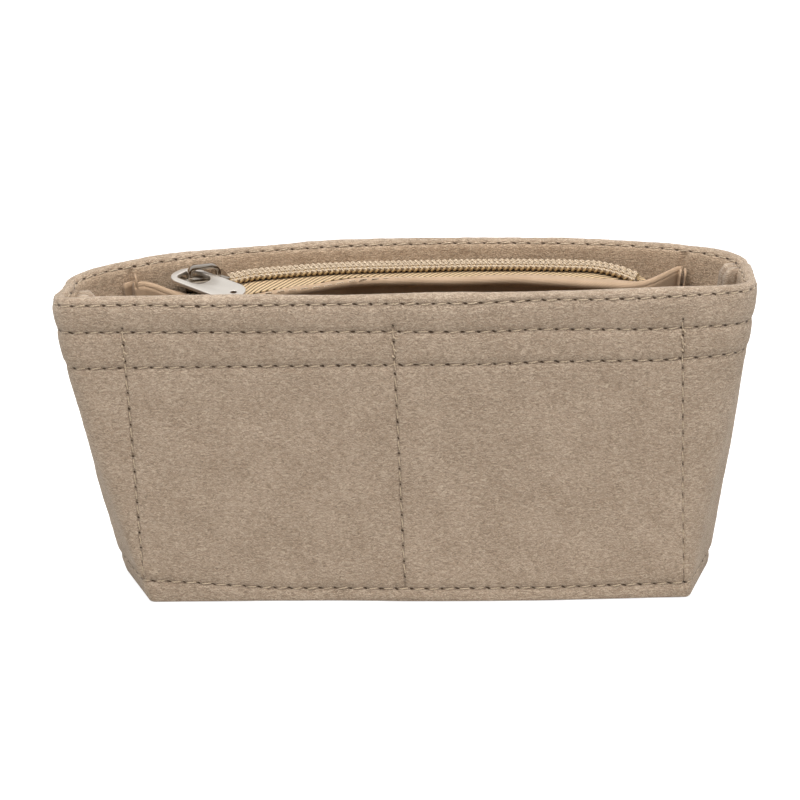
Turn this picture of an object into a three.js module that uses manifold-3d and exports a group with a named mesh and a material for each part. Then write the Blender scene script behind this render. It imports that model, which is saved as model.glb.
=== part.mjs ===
// Felt cosmetic bag with a zipped inner pouch.
// Millimetres, +Z up, +X to the right along the bag, the front wall on the -Y side.
// The origin lies on the surface the bag stands on, under the middle of its outline.

import * as THREE from 'three';
import { mergeVertices } from 'three/addons/utils/BufferGeometryUtils.js';
import Module from 'manifold-3d';

const wasm = await Module();
wasm.setup();

// Outer shell, measured on the outside of the felt
const bagHeight = 70;
const rimLength = 152.4;
const rimFrontDepth = 22.9;
const rimRearDepth = 22.9;
const baseLength = 118.8;
const baseFrontDepth = 22.9;
const baseRearDepth = 13.5;
const basePoint = 5.8;
const basePointRear = -4.7;
const baseShift = 2.2;
const leftEndInset = 1.2;
const sideSeamLeftY = -12;
const sideSeamRightY = -5.5;
const wallEasing = 3.2;

// Corners of the rim seen from above: how far each bend runs along its two sides
const frontLeftBend = 6;
const frontRightBend = 34;
const frontRightReturn = 12.2;
const rearLeftRun = 4;
const rearLeftBend = 10;
const rearRightRun = 5;
const rearRightBend = 6;
const baseCornerBend = 2.5;

// Felt
const feltThickness = 1.6;
const foldGap = 0.2;
const hemDepth = 16;
const seamGap = 0.3;
const baseFlange = 5;

// Slip pocket on the inside of the front wall
const pocketFelt = 1.4;
const pocketTopMargin = 17.7;
const pocketBottomMargin = 4.4;
const pocketMouthDrop = 9;

// Zip chain, an arc seen from above that follows the bowed rear wall
const chainCrownX = 7.7;
const chainBehindGap = 10;
const chainLeftDrop = 7.77;
const chainBelowRim = 4.2;
const chainTilt = 0.8;
const chainLeftMargin = 31.6;
const chainRightMargin = 25.2;
const coilPitch = 1.27;
const coilThickness = 1.7;
const coilHalfWidth = 2.8;
const toothReach = 0.9;
const toothWidth = 0.43;
const spineInner = 1.2;

// Zip tapes
const tapeThickness = 0.4;
const tapeGap = 0.2;
const frontTapeTail = 5.6;
const rearTapeTrim = 0.8;
const rightTapeTail = 1.5;
const tapeInnerEdge = 0.9;
const frontTapeWidth = 5.6;
const rearTapeTurn = 5.35;
const rearTapeDrop = 6;

// Slider
const sliderPastChain = 0.4;
const sliderLength = 10.4;
const sliderNoseHalf = 4.7;
const sliderTailHalf = 3.9;
const sliderNoseNotch = 0.5;
const sliderNotchHalf = 0.9;
const sliderNoseRound = 0.7;
const sliderShoulder = 2.1;
const sliderNoseOpening = 2;
const bladeThickness = 0.8;
const bladeGap = 0.2;
const lowerBladeGap = 0.3;
const flangeThickness = 0.7;
const flangeTapeGap = 0.4;
const postHalfWidth = 0.6;
const postLength = 3;
const postSetBack = 0.9;
const crownLength = 7.4;
const crownHalfWidth = 0.8;
const crownTunnel = 1.9;
const crownStrip = 0.7;
const crownWall = 0.9;
const crownShoulder = 1.9;
const crownSink = 0.2;

// Pull plate hanging in the crown by one side of its eye
const pullLength = 17.5;
const pullWidth = 8;
const pullThickness = 0.9;
const pullEyeBar = 1.2;
const pullWindowLength = 7.4;
const pullWindowWidth = 5.2;
const pullHoleRadius = 0.6;
const pullHoleInset = 2.4;
const pullEyeRound = 2.6;
const pullEyeEnd = 1.6;
const pullWindowCorner = 1.3;
const pullBehindCrown = 5;
const pullYaw = -40;
const pullRoll = 1;
const pullPitch = 2;

// Pouch of thin lining cloth behind the zip
const clothThickness = 0.6;
const pouchLeftMargin = 15.7;
const pouchRightMargin = 14.7;
const pouchFoot = 6;
const pouchFootDepth = 2;
const pouchFootLeftMargin = 2.7;
const pouchFootRightMargin = 6.1;
const pouchRearDrop = 16.8;
const shoulderGap = 0.3;
const shoulderInset = 5.2;
const shoulderClose = 4;
const shoulderLeast = 1;

const degree = Math.PI / 180;
const rimEnd = rimLength / 2;
const chainLeft = chainLeftMargin - rimEnd;
const chainRight = rimEnd - chainRightMargin;
const chainCrownY = rimRearDepth - chainBehindGap;
const chainSpan = chainCrownX - chainLeft;
const chainRadius = (chainSpan ** 2 + chainLeftDrop ** 2) / (2 * chainLeftDrop);
const chainTop = bagHeight - chainBelowRim;
const tapeLeft = chainLeft - frontTapeTail;
const rearTapeLeft = chainLeft + rearTapeTrim;
const tapeRight = chainRight + rightTapeTail;
const sliderStart = chainLeft - sliderPastChain;
const pouchLeft = pouchLeftMargin - rimEnd;
const pouchRight = rimEnd - pouchRightMargin;
const pouchRearTop = bagHeight - pouchRearDrop;
const rimFeltThickness = 2 * feltThickness + foldGap;
const tapeTop = chainTop - coilThickness - tapeGap;
const tapeBottom = tapeTop - tapeThickness;
const group = new THREE.Group();

const feltMaterial = { color: 0xa8927e, roughness: 0.95, metalness: 0 };
const clothMaterial = { color: 0xc4ab8f, roughness: 0.8, metalness: 0 };
const tapeMaterial = { color: 0xcbb08c, roughness: 0.75, metalness: 0 };
const coilMaterial = { color: 0xd6bd92, roughness: 0.45, metalness: 0 };
const nickelMaterial = { color: 0xb9b3aa, roughness: 0.2, metalness: 1 };

function addMesh(name, geometry, look, parent = group) {
  const mesh = new THREE.Mesh(geometry, new THREE.MeshStandardMaterial(look));
  mesh.name = name;
  parent.add(mesh);
  return mesh;
}

const mix = (a, b, t) => a + (b - a) * t;

// Plan outlines are runs of sample points: straight runs, bends and one free curve
function straightRun(from, to, steps) {
  const points = [];
  for (let i = 0; i < steps; i++) {
    points.push([mix(from[0], to[0], i / steps), mix(from[1], to[1], i / steps)]);
  }
  return points;
}

function bendRun(from, corner, to, steps) {
  const points = [];
  for (let i = 0; i < steps; i++) {
    const t = i / steps;
    const a = (1 - t) * (1 - t);
    const b = 2 * t * (1 - t);
    const c = t * t;
    points.push([a * from[0] + b * corner[0] + c * to[0], a * from[1] + b * corner[1] + c * to[1]]);
  }
  return points;
}

function curveRun(through, steps) {
  const curve = new THREE.CatmullRomCurve3(through.map(([x, y]) => new THREE.Vector3(x, y, 0)), false, 'centripetal');
  return curve.getSpacedPoints(steps).slice(0, steps).map((p) => [p.x, p.y]);
}

const seamSteps = 3;
const bendSteps = 6;
const mainSteps = 20;

// Half an outline from the left side seam to the right one, in five runs that match at every height
function halfOutline(seamLeft, bendLeft, mainCurve, bendRight, seamRight) {
  return [
    ...straightRun(seamLeft, bendLeft[0], seamSteps),
    ...bendRun(bendLeft[0], bendLeft[1], bendLeft[2], bendSteps),
    ...curveRun(mainCurve, mainSteps),
    ...bendRun(bendRight[0], bendRight[1], bendRight[2], bendSteps),
    ...straightRun(bendRight[2], seamRight, seamSteps),
    seamRight,
  ];
}

const rimSeamLeft = [-rimEnd + leftEndInset, sideSeamLeftY];
const rimSeamRight = [rimEnd, sideSeamRightY];
const baseLeft = baseShift - baseLength / 2;
const baseRight = baseShift + baseLength / 2;
const baseSeamLeft = [baseLeft - basePoint, basePointRear];
const baseSeamRight = [baseRight + basePoint, basePointRear];

function towards(from, to, distance) {
  const length = Math.hypot(to[0] - from[0], to[1] - from[1]);
  return [mix(from[0], to[0], distance / length), mix(from[1], to[1], distance / length)];
}

function baseBend(corner, before, after) {
  return [towards(corner, before, baseCornerBend), corner, towards(corner, after, baseCornerBend)];
}

function baseHalf(y) {
  const left = [baseLeft, y];
  const right = [baseRight, y];
  const bendLeft = baseBend(left, baseSeamLeft, right);
  const bendRight = baseBend(right, left, baseSeamRight);
  return halfOutline(baseSeamLeft, bendLeft, [bendLeft[2], bendRight[0]], bendRight, baseSeamRight);
}

function rimFrontHalf() {
  const y = -rimFrontDepth;
  const bendLeft = [[-rimEnd, y + frontLeftBend], [-rimEnd, y], [-rimEnd + frontLeftBend, y]];
  const bendRight = [[rimEnd - frontRightBend, y], [rimEnd, y], [rimEnd, y + frontRightReturn]];
  return halfOutline(rimSeamLeft, bendLeft, [bendLeft[2], bendRight[0]], bendRight, rimSeamRight);
}

// The rear rim bows back. Its points are shares of the half length and of the rear depth.
const rearBow = [[-0.87, 0.21], [-0.66, 0.58], [-0.39, 0.83], [0.1, 1], [0.53, 0.93], [0.74, 0.79], [0.87, 0.61]];

function rimRearHalf() {
  const bow = rearBow.map(([x, y]) => [x * rimEnd, y * rimRearDepth]);
  const first = bow[0];
  const last = bow[bow.length - 1];
  const bendLeft = [[rimSeamLeft[0], sideSeamLeftY + rearLeftRun], [rimSeamLeft[0], sideSeamLeftY + rearLeftBend], first];
  const bendRight = [last, [rimEnd, last[1] - rearRightBend], [rimEnd, sideSeamRightY + rearRightRun]];
  return halfOutline(rimSeamLeft, bendLeft, bow, bendRight, rimSeamRight);
}

// Closed loops of stations: the front half left to right, then the rear half back again
function closedLoop(front, rear) {
  return [...front, ...rear.slice(1, -1).reverse()];
}

const rimLoop = closedLoop(rimFrontHalf(), rimRearHalf());
const baseLoop = closedLoop(baseHalf(-baseFrontDepth), baseHalf(baseRearDepth));
const stationCount = rimLoop.length;
const rightSeamStation = rimFrontHalf().length - 1;

function loopAt(z) {
  const share = z / bagHeight;
  const eased = 1 - (1 - share) ** wallEasing;
  return rimLoop.map((rim, i) => [mix(baseLoop[i][0], rim[0], share), mix(baseLoop[i][1], rim[1], eased)]);
}

// Points of the wall at one height, pushed inward from the outer face
function insetLoop(z, inset) {
  const loop = loopAt(z);
  return loop.map((point, i) => {
    const before = loop[(i + stationCount - 1) % stationCount];
    const after = loop[(i + 1) % stationCount];
    const a = new THREE.Vector2(point[0] - before[0], point[1] - before[1]).normalize();
    const b = new THREE.Vector2(after[0] - point[0], after[1] - point[1]).normalize();
    const normal = new THREE.Vector2(-a.y - b.y, a.x + b.x).normalize();
    const stretch = Math.min(1.4, 1 / Math.max(0.5, normal.dot(new THREE.Vector2(-a.y, a.x))));
    return [point[0] + normal.x * inset * stretch, point[1] + normal.y * inset * stretch];
  });
}

// A closed body from stations. Each station is a strip of felt or cloth seen end on:
// its outer points and its inner points in pairs, where a point may stand in two pairs.
function stripBody(stations) {
  const pairs = stations[0].outer.length;
  const count = 2 * pairs;
  const points = stations.flatMap(({ outer, inner }) => [...outer, ...[...inner].reverse()]);
  const keys = points.map((point) => point.map((value) => value.toFixed(5)).join());
  const index = [];
  const face = (...corners) => {
    if (new Set(corners.map((corner) => keys[corner])).size === 3) {
      index.push(...corners);
    }
  };
  const quad = (a, b, c, d) => {
    face(a, b, c);
    face(a, c, d);
  };
  for (let s = 0; s < stations.length - 1; s++) {
    for (let i = 0; i < count; i++) {
      const a = s * count + i;
      const b = s * count + ((i + 1) % count);
      quad(a, b, b + count, a + count);
    }
  }
  const last = (stations.length - 1) * count;
  for (let i = 0; i < pairs - 1; i++) {
    const opposite = count - 1 - i;
    quad(i, opposite, opposite - 1, i + 1);
    quad(last + i, last + i + 1, last + opposite - 1, last + opposite);
  }
  return outwardGeometry(points.flat(), index);
}

function outwardGeometry(positions, index) {
  let volume = 0;
  const at = (i) => new THREE.Vector3(positions[3 * i], positions[3 * i + 1], positions[3 * i + 2]);
  for (let t = 0; t < index.length; t += 3) {
    volume += at(index[t]).dot(at(index[t + 1]).cross(at(index[t + 2])));
  }
  if (volume < 0) {
    for (let t = 0; t < index.length; t += 3) {
      [index[t + 1], index[t + 2]] = [index[t + 2], index[t + 1]];
    }
  }
  const geometry = new THREE.BufferGeometry();
  geometry.setAttribute('position', new THREE.Float32BufferAttribute(positions, 3));
  geometry.setIndex(index);
  const welded = mergeVertices(geometry, 1e-5);
  welded.computeVertexNormals();
  return welded;
}

// Wall section, inset from the outer face against height: up the outside, over the folded rim, down the hem
function hemmedSection() {
  const radius = rimFeltThickness / 2;
  const hemInner = feltThickness + foldGap;
  const foldTop = bagHeight - feltThickness;
  const hemFoot = bagHeight - hemDepth;
  const outer = [];
  const inner = [];
  for (const z of [0, baseFlange, hemFoot * 0.27, hemFoot * 0.6, hemFoot]) {
    outer.push([0, z]);
    inner.push([feltThickness, z]);
  }
  for (let i = 0; i <= bendSteps; i++) {
    const angle = Math.PI * (1 - i / bendSteps);
    outer.push([radius + radius * Math.cos(angle), bagHeight - radius + radius * Math.sin(angle)]);
    inner.push([i < bendSteps / 2 ? feltThickness : hemInner, foldTop]);
  }
  outer.push([rimFeltThickness, hemFoot]);
  inner.push([hemInner, hemFoot]);
  return { outer, inner };
}

// One felt panel: half of the shell between the two side seams
function shellPanel(stations) {
  const section = hemmedSection();
  const middle = stations[Math.floor(stations.length / 2)] % stationCount;
  const side = Math.sign(loopAt(bagHeight)[middle][1]);
  const place = (points) => {
    const loops = points.map(([inset, z]) => insetLoop(z, inset));
    return stations.map((station, s) => points.map(([, z], k) => {
      const [x, y] = loops[k][station];
      const atSeam = s === 0 || s === stations.length - 1;
      return [x, atSeam ? y + (side * seamGap) / 2 : y, z];
    }));
  };
  const outer = place(section.outer);
  const inner = place(section.inner);
  return stripBody(stations.map((_, s) => ({ outer: outer[s], inner: inner[s] })));
}

function stationRange(from, to) {
  const stations = [];
  for (let i = from; i <= to; i++) {
    stations.push(i % stationCount);
  }
  return stations;
}

function buildShell() {
  addMesh('front_panel', shellPanel(stationRange(0, rightSeamStation)), feltMaterial);
  addMesh('rear_panel', shellPanel(stationRange(rightSeamStation, stationCount)), feltMaterial);
  addMesh('base_panel', basePanel(), feltMaterial);
}

// The base lies between the walls with its edge turned up inside them
function basePanel() {
  const ring = (z, inset) => insetLoop(z, inset).map(([x, y]) => [x, y, z]);
  const outside = feltThickness + seamGap;
  const inside = outside + feltThickness;
  const rings = [
    ring(0, outside),
    ring(baseFlange, outside),
    ring(baseFlange, inside),
    ring(feltThickness, inside),
  ];
  const points = rings.flat();
  const index = [];
  const middle = baseShift;
  const depth = (baseRearDepth - baseFrontDepth) / 2;
  const underCentre = points.push([middle, depth, 0]) - 1;
  const floorCentre = points.push([middle, depth, feltThickness]) - 1;
  const lastRing = (rings.length - 1) * stationCount;
  for (let i = 0; i < stationCount; i++) {
    const next = (i + 1) % stationCount;
    index.push(underCentre, next, i);
    index.push(floorCentre, lastRing + i, lastRing + next);
    for (let r = 0; r < lastRing; r += stationCount) {
      index.push(r + i, r + next, r + i + stationCount);
      index.push(r + next, r + next + stationCount, r + i + stationCount);
    }
  }
  return outwardGeometry(points.flat(), index);
}

// The point of the front or rear wall at a given x and height, at a depth below the outer face
function wallPoint(side, x, z, inset) {
  const loop = insetLoop(z, inset);
  const first = side === 'front' ? 0 : rightSeamStation;
  const last = side === 'front' ? rightSeamStation : stationCount;
  for (let i = first; i < last; i++) {
    const a = loop[i];
    const b = loop[(i + 1) % stationCount];
    if (a[0] !== b[0] && (x - a[0]) * (x - b[0]) <= 0) {
      return [x, mix(a[1], b[1], (x - a[0]) / (b[0] - a[0])), z];
    }
  }
  throw new Error(`no ${side} wall at x ${x}`);
}

// A sheet of even thickness: a grid of points and the same grid pushed along its normals
function thickSheet(point, acrossSteps, upSteps, thickness) {
  const grid = [];
  for (let i = 0; i <= acrossSteps; i++) {
    grid.push([]);
    for (let j = 0; j <= upSteps; j++) {
      grid[i].push(new THREE.Vector3(...point(i / acrossSteps, j / upSteps)));
    }
  }
  const clampedDelta = (i, j, di, dj) => {
    const a = grid[Math.min(i + di, acrossSteps)][Math.min(j + dj, upSteps)];
    const b = grid[Math.max(i - di, 0)][Math.max(j - dj, 0)];
    return a.clone().sub(b);
  };
  const stations = grid.map((column, i) => {
    const pushed = column.map((p, j) => {
      const normal = clampedDelta(i, j, 1, 0).cross(clampedDelta(i, j, 0, 1)).normalize();
      return p.clone().addScaledVector(normal, thickness);
    });
    return { outer: column.map((p) => p.toArray()), inner: pushed.map((p) => p.toArray()) };
  });
  return stripBody(stations);
}

function buildFrontPocket() {
  const mouth = bagHeight - pocketMouthDrop;
  const pocketFoot = baseFlange + seamGap;
  const hemFoot = bagHeight - hemDepth - seamGap;
  const lowInset = feltThickness + seamGap;
  const highInset = rimFeltThickness + seamGap;
  const heights = [pocketFoot, mix(pocketFoot, hemFoot, 0.5), hemFoot, mouth];
  const insets = [lowInset, mix(lowInset, highInset, 0.5), highInset, highInset];
  const halfBottom = baseLength / 2 - pocketBottomMargin;
  const halfTop = rimEnd - pocketTopMargin;
  const point = (u, v) => {
    const row = Math.round(v * (heights.length - 1));
    const z = heights[row];
    const half = mix(halfBottom, halfTop, z / mouth);
    const centre = mix(baseShift, 0, z / bagHeight);
    return wallPoint('front', centre + mix(half, -half, u), z, insets[row]);
  };
  addMesh('front_pocket_panel', thickSheet(point, 16, heights.length - 1, pocketFelt), feltMaterial);
}

// The zip's frame: tilted a little, because the chain sags to the left under its slider
const zipFrame = new THREE.Group();
zipFrame.position.set(0, 0, tapeTop);
zipFrame.rotation.y = -chainTilt * degree;
group.add(zipFrame);

const chainCentreY = chainCrownY - chainRadius;
const chainAngle = (x) => Math.asin((x - chainCrownX) / chainRadius);

function onChain(angle, offset) {
  const radius = chainRadius + offset;
  return [chainCrownX + radius * Math.sin(angle), chainCentreY + radius * Math.cos(angle)];
}

function chainY(x) {
  return chainCentreY + Math.sqrt(chainRadius ** 2 - (x - chainCrownX) ** 2);
}

// One row of the coil: a spine with a tooth for every turn, side 1 behind the centre line, -1 before it
function coilRow(side) {
  const pitchAngle = coilPitch / chainRadius;
  const start = chainAngle(chainLeft);
  const turns = Math.floor((chainAngle(chainRight) - start) / pitchAngle);
  const shift = side > 0 ? 0.5 : 0;
  const outer = [];
  const inner = [];
  const halfRoot = toothWidth / 2 / chainRadius;
  for (let k = 0; k < turns; k++) {
    const angle = start + (k + 0.25 + shift) * pitchAngle;
    outer.push(onChain(angle, side * coilHalfWidth));
    inner.push(onChain(angle - halfRoot, side * spineInner));
    inner.push(onChain(angle - halfRoot, -side * toothReach));
    inner.push(onChain(angle + halfRoot, -side * toothReach));
    inner.push(onChain(angle + halfRoot, side * spineInner));
  }
  const first = start + (0.25 + shift) * pitchAngle - halfRoot;
  const last = start + (turns - 0.75 + shift) * pitchAngle + halfRoot;
  outer.unshift(onChain(first, side * coilHalfWidth));
  outer.push(onChain(last, side * coilHalfWidth));
  const shape = new THREE.Shape([...outer, ...inner.reverse()].map(([x, y]) => new THREE.Vector2(x, y)));
  const geometry = new THREE.ExtrudeGeometry(shape, { depth: coilThickness, bevelEnabled: false });
  geometry.translate(0, 0, tapeGap);
  return geometry;
}

// A tape: its section, offset from the chain against height, carried along the chain
function tapeStrip(left, outer, inner) {
  const steps = 24;
  const stations = [];
  for (let i = 0; i <= steps; i++) {
    const angle = mix(chainAngle(left), chainAngle(tapeRight), i / steps);
    const place = ([offset, z]) => [...onChain(angle, offset), z];
    stations.push({ outer: outer.map(place), inner: inner.map(place) });
  }
  return stripBody(stations);
}

function buildZip() {
  addMesh('coil_row_rear', coilRow(1), coilMaterial, zipFrame);
  addMesh('coil_row_front', coilRow(-1), coilMaterial, zipFrame);
  const under = -tapeThickness;
  const front = tapeStrip(
    tapeLeft,
    [[-frontTapeWidth, 0], [-tapeInnerEdge, 0]],
    [[-frontTapeWidth, under], [-tapeInnerEdge, under]],
  );
  const turnInside = rearTapeTurn - tapeThickness;
  const rear = tapeStrip(
    rearTapeLeft,
    [[tapeInnerEdge, 0], [rearTapeTurn, 0], [rearTapeTurn, -rearTapeDrop]],
    [[tapeInnerEdge, under], [turnInside, under], [turnInside, -rearTapeDrop]],
  );
  addMesh('zip_tape_front', front, tapeMaterial, zipFrame);
  addMesh('zip_tape_rear', rear, tapeMaterial, zipFrame);
}

function solidOf(geometry) {
  const bare = geometry.clone();
  bare.deleteAttribute('normal');
  bare.deleteAttribute('uv');
  const welded = mergeVertices(bare, 1e-5);
  const vertProperties = new Float32Array(welded.attributes.position.array);
  const triVerts = new Uint32Array(welded.index.array);
  return new wasm.Manifold(new wasm.Mesh({ numProp: 3, vertProperties, triVerts }));
}

function geometryOf(solid) {
  const mesh = solid.getMesh();
  const geometry = new THREE.BufferGeometry();
  geometry.setAttribute('position', new THREE.Float32BufferAttribute(mesh.vertProperties, 3));
  geometry.setIndex(Array.from(mesh.triVerts));
  geometry.computeVertexNormals();
  return geometry;
}

// Half outline of a slider blade from the notch in its nose to its tail
function bladeHalf(inset) {
  const nose = -sliderLength / 2;
  return [
    [nose + sliderNoseNotch + inset, sliderNotchHalf],
    [nose + inset, sliderNoseHalf * 0.45],
    [nose + sliderNoseRound + inset, sliderNoseHalf * 0.88 - inset],
    [nose + sliderShoulder, sliderNoseHalf - inset],
    [nose + sliderLength * 0.42, mix(sliderNoseHalf, sliderTailHalf, 0.55) - inset],
    [nose + sliderLength * 0.62, sliderTailHalf - inset],
    [-nose, sliderTailHalf - inset],
  ];
}

function bladeOutline(inset) {
  const half = bladeHalf(inset);
  return [...half, ...half.map(([x, y]) => [x, -y]).reverse()];
}

function prism(outline, from, to) {
  const shape = new THREE.Shape(outline.map(([x, y]) => new THREE.Vector2(x, y)));
  const geometry = new THREE.ExtrudeGeometry(shape, { depth: to - from, bevelEnabled: false });
  geometry.translate(0, 0, from);
  return geometry;
}

// Slider heights, counted from the top of the tape
const upperBladeFloor = tapeGap + coilThickness + bladeGap;
const upperBladeTop = upperBladeFloor + bladeThickness;
const lowerBladeTop = -tapeThickness - lowerBladeGap;
const pullLevel = upperBladeTop + crownTunnel / 2;

// The crown is an arch over the upper blade: a strip bent along the slider
function crownArch() {
  const half = crownLength / 2;
  const rise = crownTunnel + crownStrip;
  const shape = new THREE.Shape();
  const legTop = rise * 0.45;
  const innerLegTop = crownTunnel * 0.7;
  const inner = half - crownWall;
  const innerTop = inner - crownStrip;
  shape.moveTo(-half, -crownSink);
  shape.lineTo(-half, legTop);
  shape.quadraticCurveTo(-half + crownSink, rise, -half + crownShoulder, rise);
  shape.lineTo(half - crownShoulder, rise);
  shape.quadraticCurveTo(half - crownSink, rise, half, legTop);
  shape.lineTo(half, -crownSink);
  shape.lineTo(inner, -crownSink);
  shape.lineTo(inner, innerLegTop);
  shape.quadraticCurveTo(inner, crownTunnel, innerTop, crownTunnel);
  shape.lineTo(-innerTop, crownTunnel);
  shape.quadraticCurveTo(-inner, crownTunnel, -inner, innerLegTop);
  shape.lineTo(-inner, -crownSink);
  const geometry = new THREE.ExtrudeGeometry(shape, {
    depth: 2 * crownHalfWidth, bevelEnabled: false, curveSegments: 5,
  });
  geometry.translate(0, 0, -crownHalfWidth);
  geometry.rotateX(Math.PI / 2);
  geometry.translate(0, 0, upperBladeTop);
  return geometry;
}

function sliderSolid() {
  const outline = bladeOutline(0);
  const nose = -sliderLength / 2;
  // The cuts run a little past what they cut
  const past = 1;
  const upper = solidOf(prism(outline, upperBladeFloor, upperBladeTop));
  const lower = solidOf(prism(outline, lowerBladeTop - bladeThickness, lowerBladeTop));
  const skirt = solidOf(prism(outline, flangeTapeGap, upperBladeTop));
  const channel = solidOf(prism(bladeOutline(flangeThickness), flangeTapeGap - past, upperBladeFloor));
  const noseCut = solidOf(boxBetween(
    [nose - past, -sliderNoseHalf - past, flangeTapeGap - past],
    [nose + sliderNoseOpening, sliderNoseHalf + past, upperBladeFloor],
  ));
  const tailCut = solidOf(boxBetween(
    [-nose - past, -sliderTailHalf + flangeThickness, flangeTapeGap - past],
    [-nose + past, sliderTailHalf - flangeThickness, upperBladeFloor],
  ));
  const postStart = nose + postSetBack;
  const postTaper = postStart + postLength * 0.6;
  const post = solidOf(prism([
    [postStart, -postHalfWidth], [postTaper, -postHalfWidth], [postStart + postLength, 0],
    [postTaper, postHalfWidth], [postStart, postHalfWidth],
  ], lowerBladeTop - bladeThickness / 2, upperBladeTop - bladeThickness / 2));
  const flanges = skirt.subtract(channel).subtract(noseCut).subtract(tailCut);
  return upper.add(lower).add(post).add(flanges).add(solidOf(crownArch()));
}

function boxBetween(low, high) {
  const size = high.map((value, i) => value - low[i]);
  const box = new THREE.BoxGeometry(...size);
  box.translate(low[0] + size[0] / 2, low[1] + size[1] / 2, low[2] + size[2] / 2);
  return box;
}

function roundHole(x, y, radius) {
  const sides = 12;
  const points = [];
  for (let i = 0; i < sides; i++) {
    const angle = (2 * Math.PI * i) / sides;
    points.push(new THREE.Vector2(x + radius * Math.cos(angle), y + radius * Math.sin(angle)));
  }
  return new THREE.Path(points);
}

// Pull plate in its own plane: x along the plate, y across it, the crown's bar on the x axis
function pullPlate() {
  const left = -pullBehindCrown;
  const right = left + pullLength;
  const near = pullEyeBar / 2;
  const far = near - pullWidth;
  const middle = (near + far) / 2;
  const lobe = pullWidth / 2;
  const shape = new THREE.Shape();
  shape.moveTo(left + pullEyeRound, near);
  shape.lineTo(right - lobe, near);
  shape.quadraticCurveTo(right, near, right, middle);
  shape.quadraticCurveTo(right, far, right - lobe, far);
  shape.lineTo(left + pullEyeRound, far);
  shape.quadraticCurveTo(left, far, left, middle);
  shape.quadraticCurveTo(left, near, left + pullEyeRound, near);
  const windowLeft = left + pullEyeEnd;
  const windowRight = windowLeft + pullWindowLength;
  const windowNear = near - pullEyeBar;
  const windowFar = windowNear - pullWindowWidth;
  const corner = pullWindowCorner;
  const hole = new THREE.Path();
  hole.moveTo(windowLeft + corner, windowNear);
  hole.quadraticCurveTo(windowLeft, windowNear, windowLeft, windowNear - corner);
  hole.lineTo(windowLeft, windowFar + corner);
  hole.quadraticCurveTo(windowLeft, windowFar, windowLeft + corner, windowFar);
  hole.lineTo(windowRight - 2 * corner, windowFar);
  hole.quadraticCurveTo(windowRight, windowFar, windowRight, middle);
  hole.quadraticCurveTo(windowRight, windowNear, windowRight - 2 * corner, windowNear);
  shape.holes.push(hole);
  shape.holes.push(roundHole(right - pullHoleInset, middle, pullHoleRadius));
  const geometry = new THREE.ExtrudeGeometry(shape, {
    depth: pullThickness, bevelEnabled: false, curveSegments: 5,
  });
  geometry.translate(0, 0, -pullThickness / 2);
  return geometry;
}

function buildSlider() {
  const angle = chainAngle(sliderStart);
  const slider = new THREE.Group();
  slider.position.set(...onChain(angle, 0), 0);
  slider.rotation.z = -angle;
  zipFrame.add(slider);
  addMesh('slider_body', geometryOf(sliderSolid()), nickelMaterial, slider);
  const hanger = new THREE.Group();
  hanger.position.set(0, 0, pullLevel);
  hanger.rotation.z = pullYaw * degree + angle;
  slider.add(hanger);
  const pull = addMesh('slider_pull', pullPlate(), nickelMaterial, hanger);
  pull.rotation.set(pullRoll * degree, pullPitch * degree, 0);
}

// The pouch's front cloth: up the front, over a fold, then back to the tape.
// The fold's points are shares of the pouch's length and distances in front of the chain's crown.
const pouchFold = [
  [0, 9.5], [0.04, 11.3], [0.086, 15.1], [0.152, 16.9], [0.25, 14.3], [0.39, 7.9],
  [0.537, 9.7], [0.775, 11.2], [0.92, 11.3], [1, 1.7],
];

// The opening over the chain runs between these two places, and the cloth closes past them
const openLeft = sliderStart - sliderLength / 2 - seamGap;
const openRight = chainRight + seamGap;

function foldLineY() {
  const through = pouchFold.map(([share, forward]) => (
    new THREE.Vector3(mix(pouchLeft, pouchRight, share), chainCrownY - forward, 0)
  ));
  const line = new THREE.CatmullRomCurve3(through, false, 'centripetal').getPoints(200);
  return (x) => {
    const next = Math.max(1, line.findIndex((p) => p.x >= x - 1e-6));
    const a = line[next - 1];
    const b = line[next];
    return mix(a.y, b.y, Math.min(1, (x - a.x) / (b.x - a.x)));
  };
}

// The pouch narrows from its mouth to its foot, as the bag does
function narrowed(x, share) {
  const along = (x - pouchLeft) / (pouchRight - pouchLeft);
  const footX = mix(baseLeft + pouchFootLeftMargin, baseRight - pouchFootRightMargin, along);
  return mix(footX, x, share);
}

function pouchFrontPoint(x, foldY, row, rows) {
  const foldZ = tapeTop + shoulderGap + x * Math.tan(chainTilt * degree);
  const rim = wallPoint('rear', x, foldZ, rimFeltThickness + seamGap + clothThickness)[1];
  const fold = Math.min(foldY, rim - shoulderLeast);
  if (row <= rows) {
    const share = row / rows;
    const z = mix(pouchFoot, foldZ, share);
    const nearX = narrowed(x, share);
    const wall = wallPoint('rear', nearX, z, feltThickness + 2 * seamGap + clothThickness + pouchFootDepth);
    const belly = Math.sin((Math.PI / 2) * Math.min(1, 1.35 * share ** 0.75));
    return [nearX, Math.min(wall[1], rim) - (rim - fold) * belly, z];
  }
  const open = x >= openLeft - 1e-6 && x <= openRight + 1e-6;
  const edge = open ? Math.min(rim, chainY(x) - shoulderInset) : rim;
  return [x, mix(fold, Math.max(edge, fold + shoulderLeast), (row - rows) / 2), foldZ];
}

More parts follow.
